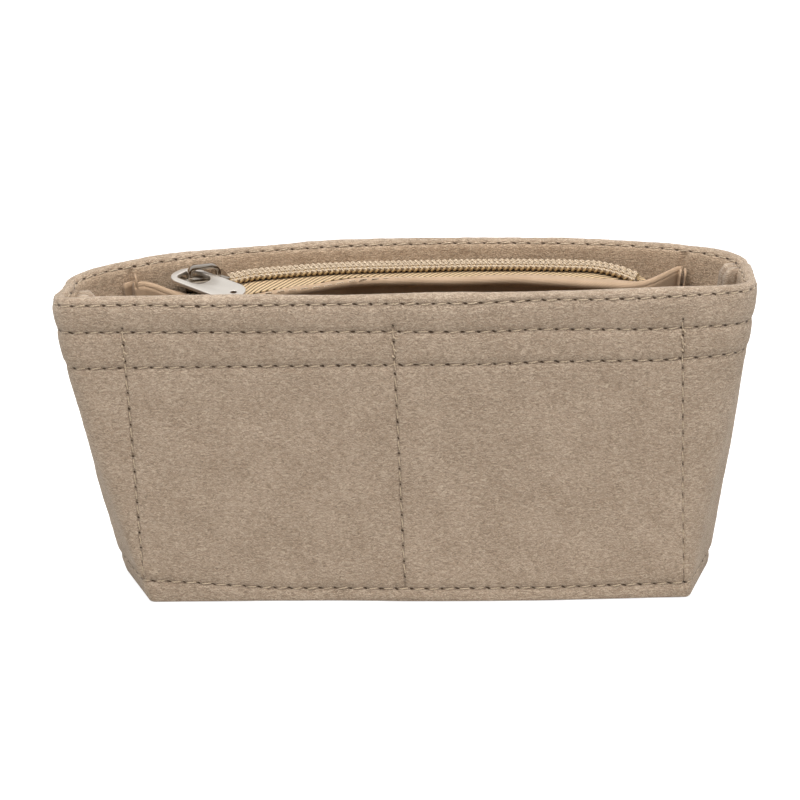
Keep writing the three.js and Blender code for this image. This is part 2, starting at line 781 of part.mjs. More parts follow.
function buildPouch() {
  const across = 24;
  const stations = [pouchLeft, openLeft - shoulderClose];
  for (let i = 0; i <= across; i++) {
    stations.push(mix(openLeft, openRight, i / across));
  }
  stations.push(openRight + shoulderClose, pouchRight);
  const foldY = foldLineY();
  const rows = 6;
  const total = rows + 2;
  const front = (u, v) => {
    const x = stations[Math.round(u * (stations.length - 1))];
    return pouchFrontPoint(x, foldY(x), Math.round(v * total), rows);
  };
  const frontCloth = thickSheet(front, stations.length - 1, total, clothThickness);
  addMesh('pouch_front_cloth', frontCloth, clothMaterial);
  const rear = (u, v) => {
    const z = mix(pouchFoot, pouchRearTop, v);
    const x = narrowed(mix(pouchLeft, pouchRight, u), v);
    return wallPoint('rear', x, z, feltThickness + 2 * seamGap + clothThickness);
  };
  addMesh('pouch_rear_cloth', thickSheet(rear, across, 4, -clothThickness), clothMaterial);
}

buildShell();
buildFrontPocket();
buildZip();
buildSlider();
buildPouch();

export default group;
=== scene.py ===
# Felt cosmetic bag with a zipped inner pouch: its looks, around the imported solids.
# Sizes are in millimetres, and the meshes are turned to metres when they are made.
import math

import bmesh
import bpy
import numpy as np
from mathutils import Matrix, Vector
from mathutils.geometry import tessellate_polygon


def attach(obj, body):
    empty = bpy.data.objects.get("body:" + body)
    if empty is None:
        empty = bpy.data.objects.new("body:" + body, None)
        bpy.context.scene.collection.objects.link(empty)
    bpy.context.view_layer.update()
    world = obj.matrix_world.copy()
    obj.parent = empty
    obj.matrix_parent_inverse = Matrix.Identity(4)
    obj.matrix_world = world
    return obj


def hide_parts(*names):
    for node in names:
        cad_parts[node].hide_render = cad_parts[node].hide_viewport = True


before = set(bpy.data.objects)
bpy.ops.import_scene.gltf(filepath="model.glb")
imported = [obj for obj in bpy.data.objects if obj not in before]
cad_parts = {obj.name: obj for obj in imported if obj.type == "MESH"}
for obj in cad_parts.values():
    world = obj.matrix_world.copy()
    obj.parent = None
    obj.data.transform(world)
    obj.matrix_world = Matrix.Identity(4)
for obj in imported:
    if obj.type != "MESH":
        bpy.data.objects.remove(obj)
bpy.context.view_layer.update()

MM = 0.001
SEED = 7

# Outer shell, as the solids have it: its rim, its base, its side seams, and the felt's thickness
BAG_HEIGHT = 70.0
RIM_END = 76.2
RIM_DEPTH = 22.9
BASE_LEFT, BASE_RIGHT = -57.2, 61.6
BASE_FRONT, BASE_REAR = -22.9, 13.5
BASE_POINT, BASE_POINT_Y = 5.8, -4.7
SEAM_LEFT = (-75.0, -12.0)
SEAM_RIGHT = (76.2, -5.5)
WALL_EASING = 3.2
FELT = 1.6
# The hem folded inside: how deep its inner face lies, its turned edge, and the rim's roll
HEM_INSIDE = 3.4
HEM_EDGE = 0.8
ROLL = 1.7
ROLL_FOOT = BAG_HEIGHT - ROLL
ROLL_END = ROLL_FOOT + math.pi * ROLL
# A running length on the inner face is this, less the height
INNER_FACE = ROLL_END + ROLL_FOOT
HEM_FOOT = 53.3
HEM_STEP = 2.3
SEAM_GAP = 0.02
HEM_UPPER_ROW, HEM_LOWER_ROW = 61.95, 54.6

# Stitching: the length of a stitch in rows and in columns, the share of a stitch by which each row
# starts behind the last, the thread's radius, and the distance that means no stitch is near
PITCH = 3.35
COLUMN_PITCH = 3.6
ROW_PHASE = 0.37
THREAD = 0.15
NO_STITCH = 9.0
# How far a line of stitches draws the felt in, and how wide its groove is
ROW_DEPTH, ROW_WIDTH = 0.36, 0.85
COLUMN_DEPTH, COLUMN_WIDTH = 0.34, 0.8
# Where a stitch's thread dives, from the end of the stitch, and its heights in the hole and between
HOLE_INSET = 0.42
THREAD_SUNK, THREAD_ARCH = 0.6, 0.64

# Zip: the chain is an arc, and heights are above its tape
CHAIN_X, CHAIN_Y = 7.7, 12.9
CHAIN_RADIUS = 179.901
CHAIN_LEFT, CHAIN_RIGHT = -44.6, 51.0
TAPE_TOP = 63.9
CHAIN_TILT = math.radians(0.8)
COIL_PITCH = 1.27
COIL_FOOT, COIL_TOP = 0.1, 1.6
COIL_FILAMENT = 0.28
COIL_OUTER, COIL_OVERLAP = 2.5, 0.62
TAPE_THICK = 0.35
# The drawn chain, and the slider's upper half, stand this much above the solids
ZIP_RISE = 1.05
SLIDER_RISE = 0.4
SLIDER_X = -45.0
CROWN_BAR = 3.85

# Pouch: its ends at the mouth and at the foot, and its lowest edge
POUCH_LEFT, POUCH_RIGHT = -60.5, 61.5
POUCH_FOOT_LEFT, POUCH_FOOT_RIGHT = BASE_LEFT + 2.7, BASE_RIGHT - 6.1
POUCH_FOOT = 6.0
# The share of its length, and how far in front of the chain's crown the fold lies there
POUCH_FOLD = (
    (0, 9.5), (0.04, 10.6), (0.086, 13.6), (0.13, 16.0), (0.17, 16.6), (0.25, 13.4), (0.307, 11.3),
    (0.377, 6.9), (0.43, 5.7), (0.537, 6.2), (0.66, 7.0), (0.75, 9.2), (0.84, 11.5), (0.92, 11.3),
    (1, 1.7),
)


def add_camera():
    """The photograph's view: 20 degrees down, a long lens, a slight roll."""
    elevation, roll, distance = math.radians(20), math.radians(0.6), 0.640
    up0 = Vector((0, math.sin(elevation), math.cos(elevation)))
    back = Vector((0, -math.cos(elevation), math.sin(elevation)))
    right0 = Vector((1, 0, 0))
    right = math.cos(roll) * right0 - math.sin(roll) * up0
    up = math.cos(roll) * up0 + math.sin(roll) * right0
    data = bpy.data.cameras.new("camera")
    data.sensor_width = 36
    data.lens = 132.5
    data.clip_start, data.clip_end = 0.01, 50
    camera = bpy.data.objects.new("camera", data)
    place = Vector((-0.0018, -0.0175, 0.045)) + distance * back
    camera.matrix_world = Matrix.Translation(place) @ Matrix((right, up, back)).transposed().to_4x4()
    bpy.context.scene.collection.objects.link(camera)
    bpy.context.scene.camera = camera


add_camera()


# Materials

def linear(colour):
    """A hex colour as Blender's linear values."""
    parts = [int(colour[i:i + 2], 16) / 255 for i in (1, 3, 5)]
    return [p / 12.92 if p <= 0.04045 else ((p + 0.055) / 1.055) ** 2.4 for p in parts] + [1.0]


def add(tree, kind, inputs=None, **settings):
    """Adds a shader node. An input is given a value, or the node or socket that feeds it."""
    made = tree.nodes.new("ShaderNode" + kind)
    for key, value in settings.items():
        setattr(made, key, value)
    for key, value in (inputs or {}).items():
        source = value.outputs[0] if isinstance(value, bpy.types.Node) else value
        if isinstance(source, bpy.types.NodeSocket):
            tree.links.new(source, made.inputs[key])
        else:
            made.inputs[key].default_value = source
    return made


def new_material(name):
    material = bpy.data.materials.new(name)
    material.use_nodes = True
    tree = material.node_tree
    tree.nodes.clear()
    return material, tree


def close_material(tree, surface):
    add(tree, "OutputMaterial", {"Surface": surface})


def fibres(tree, spread, layers, low, high):
    """Felted fibres as a mask. A layer is its turn in degrees, and the length and width of its
    fibres in millimetres."""
    mask = None
    for turn, length, width in layers:
        placed = add(tree, "Mapping", {"Vector": spread, "Rotation": (0, 0, math.radians(turn))})
        stretched = add(tree, "VectorMath", {0: placed, 1: (1000 / length, 1000 / width, 1)},
                        operation="MULTIPLY")
        noise = add(tree, "TexNoise", {"Vector": stretched, "Scale": 1.0, "Detail": 1.5, "Roughness": 0.55},
                    noise_dimensions="2D")
        layer = add(tree, "MapRange", {"Value": noise, "From Min": low, "From Max": high},
                    interpolation_type="SMOOTHSTEP")
        mask = layer if mask is None else add(tree, "Math", {0: mask, 1: layer}, operation="MAXIMUM")
    return mask


def felt_material(name, body, stitched):
    """Pressed wool-blend felt: matt, with short crossing fibres a little lighter and darker than
    the rest, soft mottling, and painted shade in the needle holes and along the stitch grooves."""
    material, tree = new_material(name)
    cloth = add(tree, "UVMap", uv_map="cloth")
    drift = add(tree, "TexNoise", {"Vector": cloth, "Scale": 300, "Detail": 1}, noise_dimensions="2D")
    centred = add(tree, "VectorMath", {0: drift.outputs["Color"], 1: (0.5, 0.5, 0.5)}, operation="SUBTRACT")
    bent = add(tree, "VectorMath", {0: centred, 1: (0.0009, 0.0009, 0), 2: cloth}, operation="MULTIPLY_ADD")
    light_layers = ((3, 1.9, 0.25), (14, 1.6, 0.24), (-16, 1.7, 0.24), (62, 0.9, 0.25))
    lights = fibres(tree, bent, light_layers, 0.57, 0.69)
    darks = fibres(tree, bent, ((-7, 1.7, 0.26), (27, 1.3, 0.25), (-34, 1.2, 0.25)), 0.58, 0.71)
    patches = add(tree, "TexNoise", {"Vector": cloth, "Scale": 105, "Detail": 4, "Roughness": 0.6},
                  noise_dimensions="2D")
    patch = add(tree, "MapRange", {"Value": patches, "From Min": 0.3, "From Max": 0.7})
    ground = add(tree, "MixRGB", {"Fac": patch, "Color1": linear(body[0]), "Color2": linear(body[1])})
    light_share = add(tree, "Math", {0: lights, 1: 0.55}, operation="MULTIPLY")
    dark_share = add(tree, "Math", {0: darks, 1: 0.6}, operation="MULTIPLY")
    lit = add(tree, "MixRGB", {"Fac": light_share, "Color1": ground, "Color2": linear(body[2])})
    colour = add(tree, "MixRGB", {"Fac": dark_share, "Color1": lit, "Color2": linear(body[3])})
    fuzz = add(tree, "TexNoise", {"Vector": cloth, "Scale": 2700, "Detail": 2}, noise_dimensions="2D")
    speckle = add(tree, "MapRange", {"Value": fuzz, "From Min": 0.3, "From Max": 0.7,
                                     "To Min": 0.86, "To Max": 1.13})
    colour = add(tree, "VectorMath", {0: colour, "Scale": speckle}, operation="SCALE")
    height = add(tree, "Math", {0: lights, 1: 1.0, 2: fuzz}, operation="MULTIPLY_ADD")
    height = add(tree, "Math", {0: darks, 1: -0.8, 2: height}, operation="MULTIPLY_ADD")
    if stitched:
        # The inner face looks warmer and lighter, as light bounces between the walls
        depth = add(tree, "SeparateXYZ", {"Vector": cloth}).outputs["Y"]
        inside = add(tree, "MapRange", {"Value": depth, "From Min": 0.0712, "From Max": 0.0738})
        warm = add(tree, "VectorMath", {0: colour, 1: (1.2, 1.14, 1.06)}, operation="MULTIPLY")
        colour = add(tree, "MixRGB", {"Fac": inside, "Color1": colour, "Color2": warm})
        # Painted shade: dark brown in the needle holes and a thin dark line along each stitch groove, standing
        # in for the shadow there
        holes = painted_stitch_shade(tree)
        colour = add(tree, "MixRGB", {"Fac": holes, "Color1": colour, "Color2": linear("#3A2A1D")})
        height = add(tree, "Math", {0: holes, 1: -2.5, 2: height}, operation="MULTIPLY_ADD")
    bump = add(tree, "Bump", {"Height": height, "Strength": 0.5, "Distance": 0.00022})
    shader = add(tree, "BsdfPrincipled", {
        "Base Color": colour, "Roughness": 0.95, "Specular IOR Level": 0.2,
        "Sheen Weight": 0.3, "Sheen Roughness": 0.5, "Sheen Tint": linear("#F0E8DE"), "Normal": bump,
    })
    close_material(tree, shader)
    return material


def painted_stitch_shade(tree):
    """Painted shade in the needle holes, and a painted shadow along the groove between them. Each of
    the two stitch maps gives the distance from the line in millimetres, and the place along it in stitches."""
    total = None
    cloth = add(tree, "UVMap", uv_map="cloth")
    torn = add(tree, "TexNoise", {"Vector": cloth, "Scale": 900, "Detail": 1}, noise_dimensions="2D")
    ragged = add(tree, "VectorMath", {0: torn.outputs["Color"], 1: (0.5, 0.5, 0.5)}, operation="SUBTRACT")
    for uv_map in ("rows", "columns"):
        parts = add(tree, "SeparateXYZ", {"Vector": add(tree, "UVMap", uv_map=uv_map)})
        whole = add(tree, "Math", {0: parts.outputs["Y"]}, operation="ROUND")
        beside = add(tree, "Math", {0: parts.outputs["Y"], 1: whole}, operation="SUBTRACT")
        hole_length = 0.5 if uv_map == "rows" else 0.3
        along = add(tree, "Math", {0: beside, 1: PITCH / hole_length}, operation="MULTIPLY")
        lean = add(tree, "Math", {0: parts.outputs["X"], 1: 1 / 0.27}, operation="MULTIPLY")
        across = add(tree, "Math", {0: along, 1: 0.3, 2: lean}, operation="MULTIPLY_ADD")
        spot = add(tree, "CombineXYZ", {"X": along, "Y": across})
        spot = add(tree, "VectorMath", {0: ragged, 1: (1.5, 1.5, 0), 2: spot}, operation="MULTIPLY_ADD")
        reach = add(tree, "VectorMath", {0: spot}, operation="LENGTH")
        # The hole's painted shade, darkest at its middle
        hole = add(tree, "MapRange", {"Value": reach.outputs["Value"], "From Min": 0.58, "From Max": 1.25,
                                      "To Min": 1.0, "To Max": 0}, interpolation_type="SMOOTHSTEP")
        side = add(tree, "Math", {0: parts.outputs["X"]}, operation="ABSOLUTE")
        # A painted shadow along the groove where the thread lies
        groove = add(tree, "MapRange", {"Value": side, "From Min": 0.08, "From Max": 0.5,
                                        "To Min": 0.4, "To Max": 0}, interpolation_type="SMOOTHSTEP")
        marks = add(tree, "Math", {0: hole, 1: groove}, operation="MAXIMUM")
        total = marks if total is None else add(tree, "Math", {0: total, 1: marks}, operation="MAXIMUM")
    return total


def thread_material():
    """Spun polyester sewing thread: pale, slightly silky, with the slant of its twist."""
    material, tree = new_material("spun_polyester_thread")
    cloth = add(tree, "UVMap", uv_map="cloth")
    turned = add(tree, "Mapping", {"Vector": cloth, "Rotation": (0, 0, math.radians(35))})
    ply = add(tree, "TexWave", {"Vector": turned, "Scale": 560, "Distortion": 1.0}, bands_direction="X")
    colour = add(tree, "MixRGB", {"Fac": ply, "Color1": linear("#A08B72"), "Color2": linear("#CDB99E")})
    bump = add(tree, "Bump", {"Height": ply, "Strength": 0.5, "Distance": 0.0001})
    shader = add(tree, "BsdfPrincipled", {
        "Base Color": colour, "Roughness": 0.6, "Sheen Weight": 0.2, "Normal": bump,
    })
    close_material(tree, shader)
    return material


def lining_material():
    """Plain-woven polyester lining: smooth and faintly satiny, its yarns drawn at 0.3 mm,
    coarser than life so that they show."""
    material, tree = new_material("woven_polyester_lining")
    cloth = add(tree, "UVMap", uv_map="cloth")
    warp, weft = (add(tree, "TexWave", {"Vector": cloth, "Scale": 1050, "Distortion": 0.6, "Detail": 1},
                      bands_direction=way) for way in "XY")
    weave = add(tree, "Math", {0: warp, 1: weft}, operation="MULTIPLY")
    slub = add(tree, "TexNoise", {"Vector": cloth, "Scale": 160, "Detail": 3}, noise_dimensions="2D")
    tone = add(tree, "Math", {0: weave, 1: 0.5, 2: slub}, operation="MULTIPLY_ADD")
    share = add(tree, "MapRange", {"Value": tone, "From Min": 0.3, "From Max": 1.1})
    colour = add(tree, "MixRGB", {"Fac": share, "Color1": linear("#A0866B"), "Color2": linear("#B4997E")})
    bump = add(tree, "Bump", {"Height": weave, "Strength": 0.35, "Distance": 0.0001})
    shader = add(tree, "BsdfPrincipled", {
        "Base Color": colour, "Roughness": 0.7, "Specular IOR Level": 0.3, "Sheen Weight": 0.15, "Normal": bump,
    })
    close_material(tree, shader)
    return material


def tape_material():
    """Polyester zip tape, woven as a twill: slanting ribs 1 mm apart."""
    material, tree = new_material("polyester_twill_tape")
    cloth = add(tree, "UVMap", uv_map="cloth")
    turned = add(tree, "Mapping", {"Vector": cloth, "Rotation": (0, 0, math.radians(42))})
    ribs = add(tree, "TexWave", {"Vector": turned, "Scale": 305, "Distortion": 0.7, "Detail": 1},
               bands_direction="X")
    grain = add(tree, "TexNoise", {"Vector": cloth, "Scale": 2400, "Detail": 2}, noise_dimensions="2D")
    tone = add(tree, "Math", {0: grain, 1: 0.5, 2: ribs}, operation="MULTIPLY_ADD")
    share = add(tree, "MapRange", {"Value": tone, "From Min": 0.34, "From Max": 0.74})
    colour = add(tree, "MixRGB", {"Fac": share, "Color1": linear("#54401F"), "Color2": linear("#C2A781")})
    bump = add(tree, "Bump", {"Height": ribs, "Strength": 0.6, "Distance": 0.00018})
    shader = add(tree, "BsdfPrincipled", {
        "Base Color": colour, "Roughness": 0.65, "Specular IOR Level": 0.35, "Sheen Weight": 0.15,
        "Normal": bump,
    })
    close_material(tree, shader)
    return material


def coil_material():
    """Nylon monofilament, drawn and dyed: a soft gloss on every turn of the coil."""
    material, tree = new_material("dyed_nylon_coil")
    cloth = add(tree, "UVMap", uv_map="cloth")
    shade = add(tree, "TexNoise", {"Vector": cloth, "Scale": 900, "Detail": 1}, noise_dimensions="2D")
    colour = add(tree, "MixRGB", {"Fac": shade, "Color1": linear("#96794F"), "Color2": linear("#B89D72")})
    shader = add(tree, "BsdfPrincipled", {
        "Base Color": colour, "Roughness": 0.38, "Specular IOR Level": 0.5, "IOR": 1.53,
        "Subsurface Weight": 0.08, "Subsurface Radius": (0.6, 0.4, 0.25), "Subsurface Scale": 0.0006,
    })
    close_material(tree, shader)
    return material


def nickel_material(name, colour, smooth, worn):
    """Nickel-plated zinc casting, with faint wear scratches and soft waves. The slider's copy is glossier
    than the satin pull, and its colour is painted darker, a painted dark reflection on its polish."""
    material, tree = new_material(name)
    place = add(tree, "TexCoord").outputs["Object"]
    waves = add(tree, "TexNoise", {"Vector": place, "Scale": 420, "Detail": 2})
    scuffs = add(tree, "TexNoise", {"Vector": place, "Scale": 2600, "Detail": 3})
    rough = add(tree, "MapRange", {"Value": scuffs, "From Min": 0.35, "From Max": 0.75,
                                   "To Min": smooth, "To Max": worn})
    bump = add(tree, "Bump", {"Height": waves, "Strength": 0.12, "Distance": 0.0002})
    shader = add(tree, "BsdfPrincipled", {
        "Base Color": linear(colour), "Metallic": 1.0, "Roughness": rough, "Normal": bump,
    })
    close_material(tree, shader)
    return material


FELT_TONES = ("#9A8672", "#AA9682", "#C8B6A1", "#7A6856")
felt_stitched = felt_material("pressed_felt_stitched", FELT_TONES, True)
felt_plain = felt_material("pressed_felt", FELT_TONES, False)
thread = thread_material()
lining = lining_material()
tape = tape_material()
coil = coil_material()
pull_nickel = nickel_material("satin_nickel_plate", "#D2CBC2", 0.34, 0.46)
# The same nickel as the pull, its colour painted darker to stand in for dark reflections on the slider
slider_nickel = nickel_material("nickel_plate_painted_dark", "#92887C", 0.04, 0.12)


# Meshes

def mesh_piece(name, points, faces, uvs=None):
    """A closed mesh from points in millimetres. uvs has a map's name against a value for every
    point, or for every corner of every face."""
    mesh = bpy.data.meshes.new(name)
    mesh.from_pydata((np.asarray(points) * MM).tolist(), [], faces)
    corners = np.empty(len(mesh.loops), dtype=np.int64)
    mesh.loops.foreach_get("vertex_index", corners)
    for key, values in (uvs or {}).items():
        layer = mesh.uv_layers.new(name=key)
        values = np.asarray(values, dtype=np.float32)
        per_corner = values if len(values) == len(corners) else values[corners]
        layer.data.foreach_set("uv", per_corner.ravel())
    mesh.shade_smooth()
    piece = bpy.data.objects.new(name, mesh)
    bpy.context.scene.collection.objects.link(piece)
    if signed_volume(mesh) < 0:
        mesh.flip_normals()
    return piece


def signed_volume(mesh):
    mesh.calc_loop_triangles()
    points = np.empty(len(mesh.vertices) * 3)
    mesh.vertices.foreach_get("co", points)
    points = points.reshape(-1, 3)
    corners = np.empty(len(mesh.loop_triangles) * 3, dtype=np.int64)
    mesh.loop_triangles.foreach_get("vertices", corners)
    a, b, c = (points[corners.reshape(-1, 3)[:, k]] for k in range(3))
    return float((a * np.cross(b, c)).sum())


def finish_piece(piece, material, body="bag", stands_for=()):
    piece.data.materials.clear()
    piece.data.materials.append(material)
    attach(piece, body)
    if stands_for:
        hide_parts(*stands_for)
    return piece


def grid_faces(columns, rows, wrap_rows=False):
    """Quads of a grid of points that is numbered along the rows of each column."""
    i, j = np.meshgrid(np.arange(columns - 1), np.arange(rows if wrap_rows else rows - 1), indexing="ij")
    i, j = i.ravel(), j.ravel()
    j2 = (j + 1) % rows
    return np.stack([i * rows + j, (i + 1) * rows + j, (i + 1) * rows + j2, i * rows + j2], axis=1)


def stacked(*parts):
    """Points, or places on a cloth map, from their coordinates."""
    return np.stack(np.broadcast_arrays(*parts), axis=-1)


def end_caps(first, rings, sides):
    """The end faces of a tube whose points are numbered from first, ring by ring."""
    last = first + (rings - 1) * sides
    return [list(range(first, first + sides))[::-1], list(range(last, last + sides))]


def running(points, axis=0):
    """Running length along one axis of a line or grid of points."""
    steps = np.linalg.norm(np.diff(points, axis=axis), axis=-1)
    start = np.zeros_like(np.take(steps, [0], axis=axis))
    return np.concatenate([start, np.cumsum(steps, axis=axis)], axis=axis)


def superpower(value, power):
    return np.sign(value) * np.abs(value) ** power


def smooth_noise(x, y, cell, seed):
    """Soft value noise from -1 to 1 on a grid of random numbers, cell millimetres apart."""
    table = np.random.default_rng(SEED * 1000 + seed).uniform(-1, 1, (257, 257))
    gx, gy = np.asarray(x) / cell, np.asarray(y) / cell
    ix, iy = np.floor(gx).astype(int), np.floor(gy).astype(int)
    fx, fy = gx - ix, gy - iy
    fx, fy = fx * fx * (3 - 2 * fx), fy * fy * (3 - 2 * fy)
    at = lambda a, b: table[(ix + a) % 257, (iy + b) % 257]
    low = at(0, 0) + (at(1, 0) - at(0, 0)) * fx
    high = at(0, 1) + (at(1, 1) - at(0, 1)) * fx
    return low + (high - low) * fy


def tubes(centres, ups, radii, sides):
    """Closed tubes along rows of points: centres and ups are (tubes, points, 3), radii (tubes, points)."""
    centres, ups = np.asarray(centres, float), np.asarray(ups, float)
    count, length = centres.shape[:2]
    tangent = np.gradient(centres, axis=1)
    tangent /= np.linalg.norm(tangent, axis=2, keepdims=True)
    side = np.cross(tangent, ups)
    side /= np.linalg.norm(side, axis=2, keepdims=True)
    up = np.cross(side, tangent)
    angle = np.linspace(0, 2 * math.pi, sides, endpoint=False)
    ring = np.cos(angle)[:, None] * up[:, :, None] + np.sin(angle)[:, None] * side[:, :, None]
    points = centres[:, :, None] + ring * np.asarray(radii)[:, :, None, None]
    u = np.repeat(running(centres, 1)[:, :, None], sides, axis=2)
    v = np.broadcast_to(angle / (2 * math.pi) * 2, u.shape)
    quads = grid_faces(length, sides, wrap_rows=True)
    faces = (quads[None] + (np.arange(count) * length * sides)[:, None, None]).reshape(-1, 4).tolist()
    for first in range(0, count * length * sides, length * sides):
        faces += end_caps(first, length, sides)
    return points.reshape(-1, 3), faces, {"cloth": stacked(u, v).reshape(-1, 2) * MM}


# The shell's outline, seen from above: a closed line that starts at the left side seam

def straight(a, b, t):
    return np.outer(1 - t, a) + np.outer(t, b)


def bend(a, corner, b, t):
    return np.outer((1 - t) ** 2, a) + np.outer(2 * t * (1 - t), corner) + np.outer(t ** 2, b)


def spaced(line, t):
    """Points evenly spaced along a line, t from 0 to 1."""
    run = running(line)
    return np.stack([np.interp(t * run[-1], run, line[:, k]) for k in range(line.shape[1])], axis=1)


def free_curve(through, t):
    """A centripetal curve through the points, sampled evenly by length."""
    p = np.array(through, float)
    p = np.vstack([2 * p[0] - p[1], p, 2 * p[-1] - p[-2]])
    s = np.linspace(0, 1, 60, endpoint=False)[:, None]
    line = []
    for p0, p1, p2, p3 in zip(p, p[1:], p[2:], p[3:]):
        d0, d1, d2 = (np.linalg.norm(b - a) ** 0.5 for a, b in ((p0, p1), (p1, p2), (p2, p3)))
        m1 = ((p1 - p0) / d0 - (p2 - p0) / (d0 + d1) + (p2 - p1) / d1) * d1
        m2 = ((p2 - p1) / d1 - (p3 - p1) / (d1 + d2) + (p3 - p2) / d2) * d1
        line.append((2 * s**3 - 3 * s**2 + 1) * p1 + (s**3 - 2 * s**2 + s) * m1
                    + (3 * s**2 - 2 * s**3) * p2 + (s**3 - s**2) * m2)
    return spaced(np.vstack(line + [p[-2:-1]]), t)


def half_outline(seam_left, bend_left, main, bend_right, seam_right):
    short = np.linspace(0, 1, 120, endpoint=False)
    long = np.linspace(0, 1, 2400, endpoint=False)
    return np.vstack([
        straight(seam_left, bend_left[0], short), bend(*bend_left, short), free_curve(main, long),
        bend(*bend_right, short), straight(bend_right[2], seam_right, short), [seam_right],
    ])


def towards(a, b, distance):
    a, b = np.array(a, float), np.array(b, float)
    return a + (b - a) * distance / np.linalg.norm(b - a)


def base_half(y, round_corner=1.2):
    seam_left = (BASE_LEFT - BASE_POINT - 1.1, BASE_POINT_Y)
    seam_right = (BASE_RIGHT + BASE_POINT, BASE_POINT_Y)
    left, right = (BASE_LEFT, y), (BASE_RIGHT, y)
    bend_left = (towards(left, seam_left, round_corner), left, towards(left, right, round_corner))
    bend_right = (towards(right, left, round_corner), right, towards(right, seam_right, round_corner))
    return half_outline(seam_left, bend_left, [bend_left[2], bend_right[0]], bend_right, seam_right)


def rim_front_half():
    y = -RIM_DEPTH
    bend_left = ((-RIM_END, y + 6), (-RIM_END, y), (-RIM_END + 6, y))
    bend_right = ((RIM_END - 34, y), (RIM_END, y), (RIM_END, y + 12.2))
    return half_outline(SEAM_LEFT, bend_left, [bend_left[2], bend_right[0]], bend_right, SEAM_RIGHT)


def rim_rear_half():
    bow = [(x * RIM_END, y * RIM_DEPTH) for x, y in (
        (-0.87, 0.21), (-0.66, 0.58), (-0.39, 0.83), (0.1, 1), (0.53, 0.93), (0.74, 0.79), (0.87, 0.61))]
    first, last = bow[0], bow[-1]
    bend_left = ((SEAM_LEFT[0], SEAM_LEFT[1] + 4), (SEAM_LEFT[0], SEAM_LEFT[1] + 10), first)
    bend_right = (last, (RIM_END, last[1] - 6), (RIM_END, SEAM_RIGHT[1] + 5))
    return half_outline(SEAM_LEFT, bend_left, bow, bend_right, SEAM_RIGHT)


def closed_loop(front, rear):
    return np.vstack([front, rear[1:-1][::-1]])


RIM_LOOP = closed_loop(rim_front_half(), rim_rear_half())
BASE_LOOP = closed_loop(base_half(BASE_FRONT), base_half(BASE_REAR))
steps = np.linalg.norm(np.diff(np.vstack([RIM_LOOP, RIM_LOOP[:1]]), axis=0), axis=1)
LOOP_RUN = np.concatenate([[0], np.cumsum(steps)[:-1]])
LOOP_LENGTH = float(steps.sum())
FRONT_LENGTH = float(LOOP_RUN[len(rim_front_half()) - 1])


def around(u, values):
    return np.interp(u, LOOP_RUN, values, period=LOOP_LENGTH)


def ramp(x, low, high):
    t = np.clip((np.asarray(x) - low) / (high - low), 0, 1)
    return t * t * (3 - 2 * t)


def foot_belly(x):
    """The front wall's foot bows forward a little right of the middle."""
    return 1.5 * np.exp(-((x - 22) / 32) ** 2)


def loop_point(u, z):
    """Outer face of the felt, u millimetres along the rim from the left seam, at height z."""
    share = np.clip(z / BAG_HEIGHT, 0, 1)
    eased = 1 - (1 - share) ** WALL_EASING
    bx, by = around(u, BASE_LOOP[:, 0]), around(u, BASE_LOOP[:, 1])
    swell = 1 - (1 - share) ** (1.37 - 0.05 * np.tanh(bx / 20))
    belly = foot_belly(bx) * ramp(-by, 12, 22) * (1 - share) ** 4
    return (bx + (around(u, RIM_LOOP[:, 0]) - bx) * swell,
            by + (around(u, RIM_LOOP[:, 1]) - by) * eased - belly)


def wall_direction(u, z, reach):
    """The level direction along the wall, as a step of length one."""
    ax, ay = loop_point(u - reach, z)
    bx, by = loop_point(u + reach, z)
    length = np.hypot(bx - ax, by - ay)
    return (bx - ax) / length, (by - ay) / length


def inset_point(u, z, inset, reach=0.8):
    """A point inside the felt's outer face, by its distance from it."""
    tx, ty = wall_direction(u, z, reach)
    x, y = loop_point(u, z)
    return x - ty * inset, y + tx * inset


def find_u(side, x, z, inset):
    """The place along the front or rear wall where it has this x."""
    x, z, inset = np.broadcast_arrays(np.asarray(x, float), z, inset)
    start, end, sign = (0, FRONT_LENGTH, 1) if side == "front" else (FRONT_LENGTH, LOOP_LENGTH, -1)
    # A first guess, as the rim's line is longer than its width, which is then corrected in steps
    longer, step, flattest = 1.08, 0.3, 0.2
    u = (start + end) / 2 + sign * x * longer
    for _ in range(10):
        here = inset_point(u, z, inset)[0]
        ahead = inset_point(u + step, z, inset)[0]
        slope = (ahead - here) / step
        slope = np.where(np.abs(slope) < flattest, sign * flattest, slope)
        u = np.clip(u + (x - here) / slope, start + 0.2, end - 0.2)
    return u


def wall_y(side, x, z, inset):
    return inset_point(find_u(side, x, z, inset), z, inset)[1]


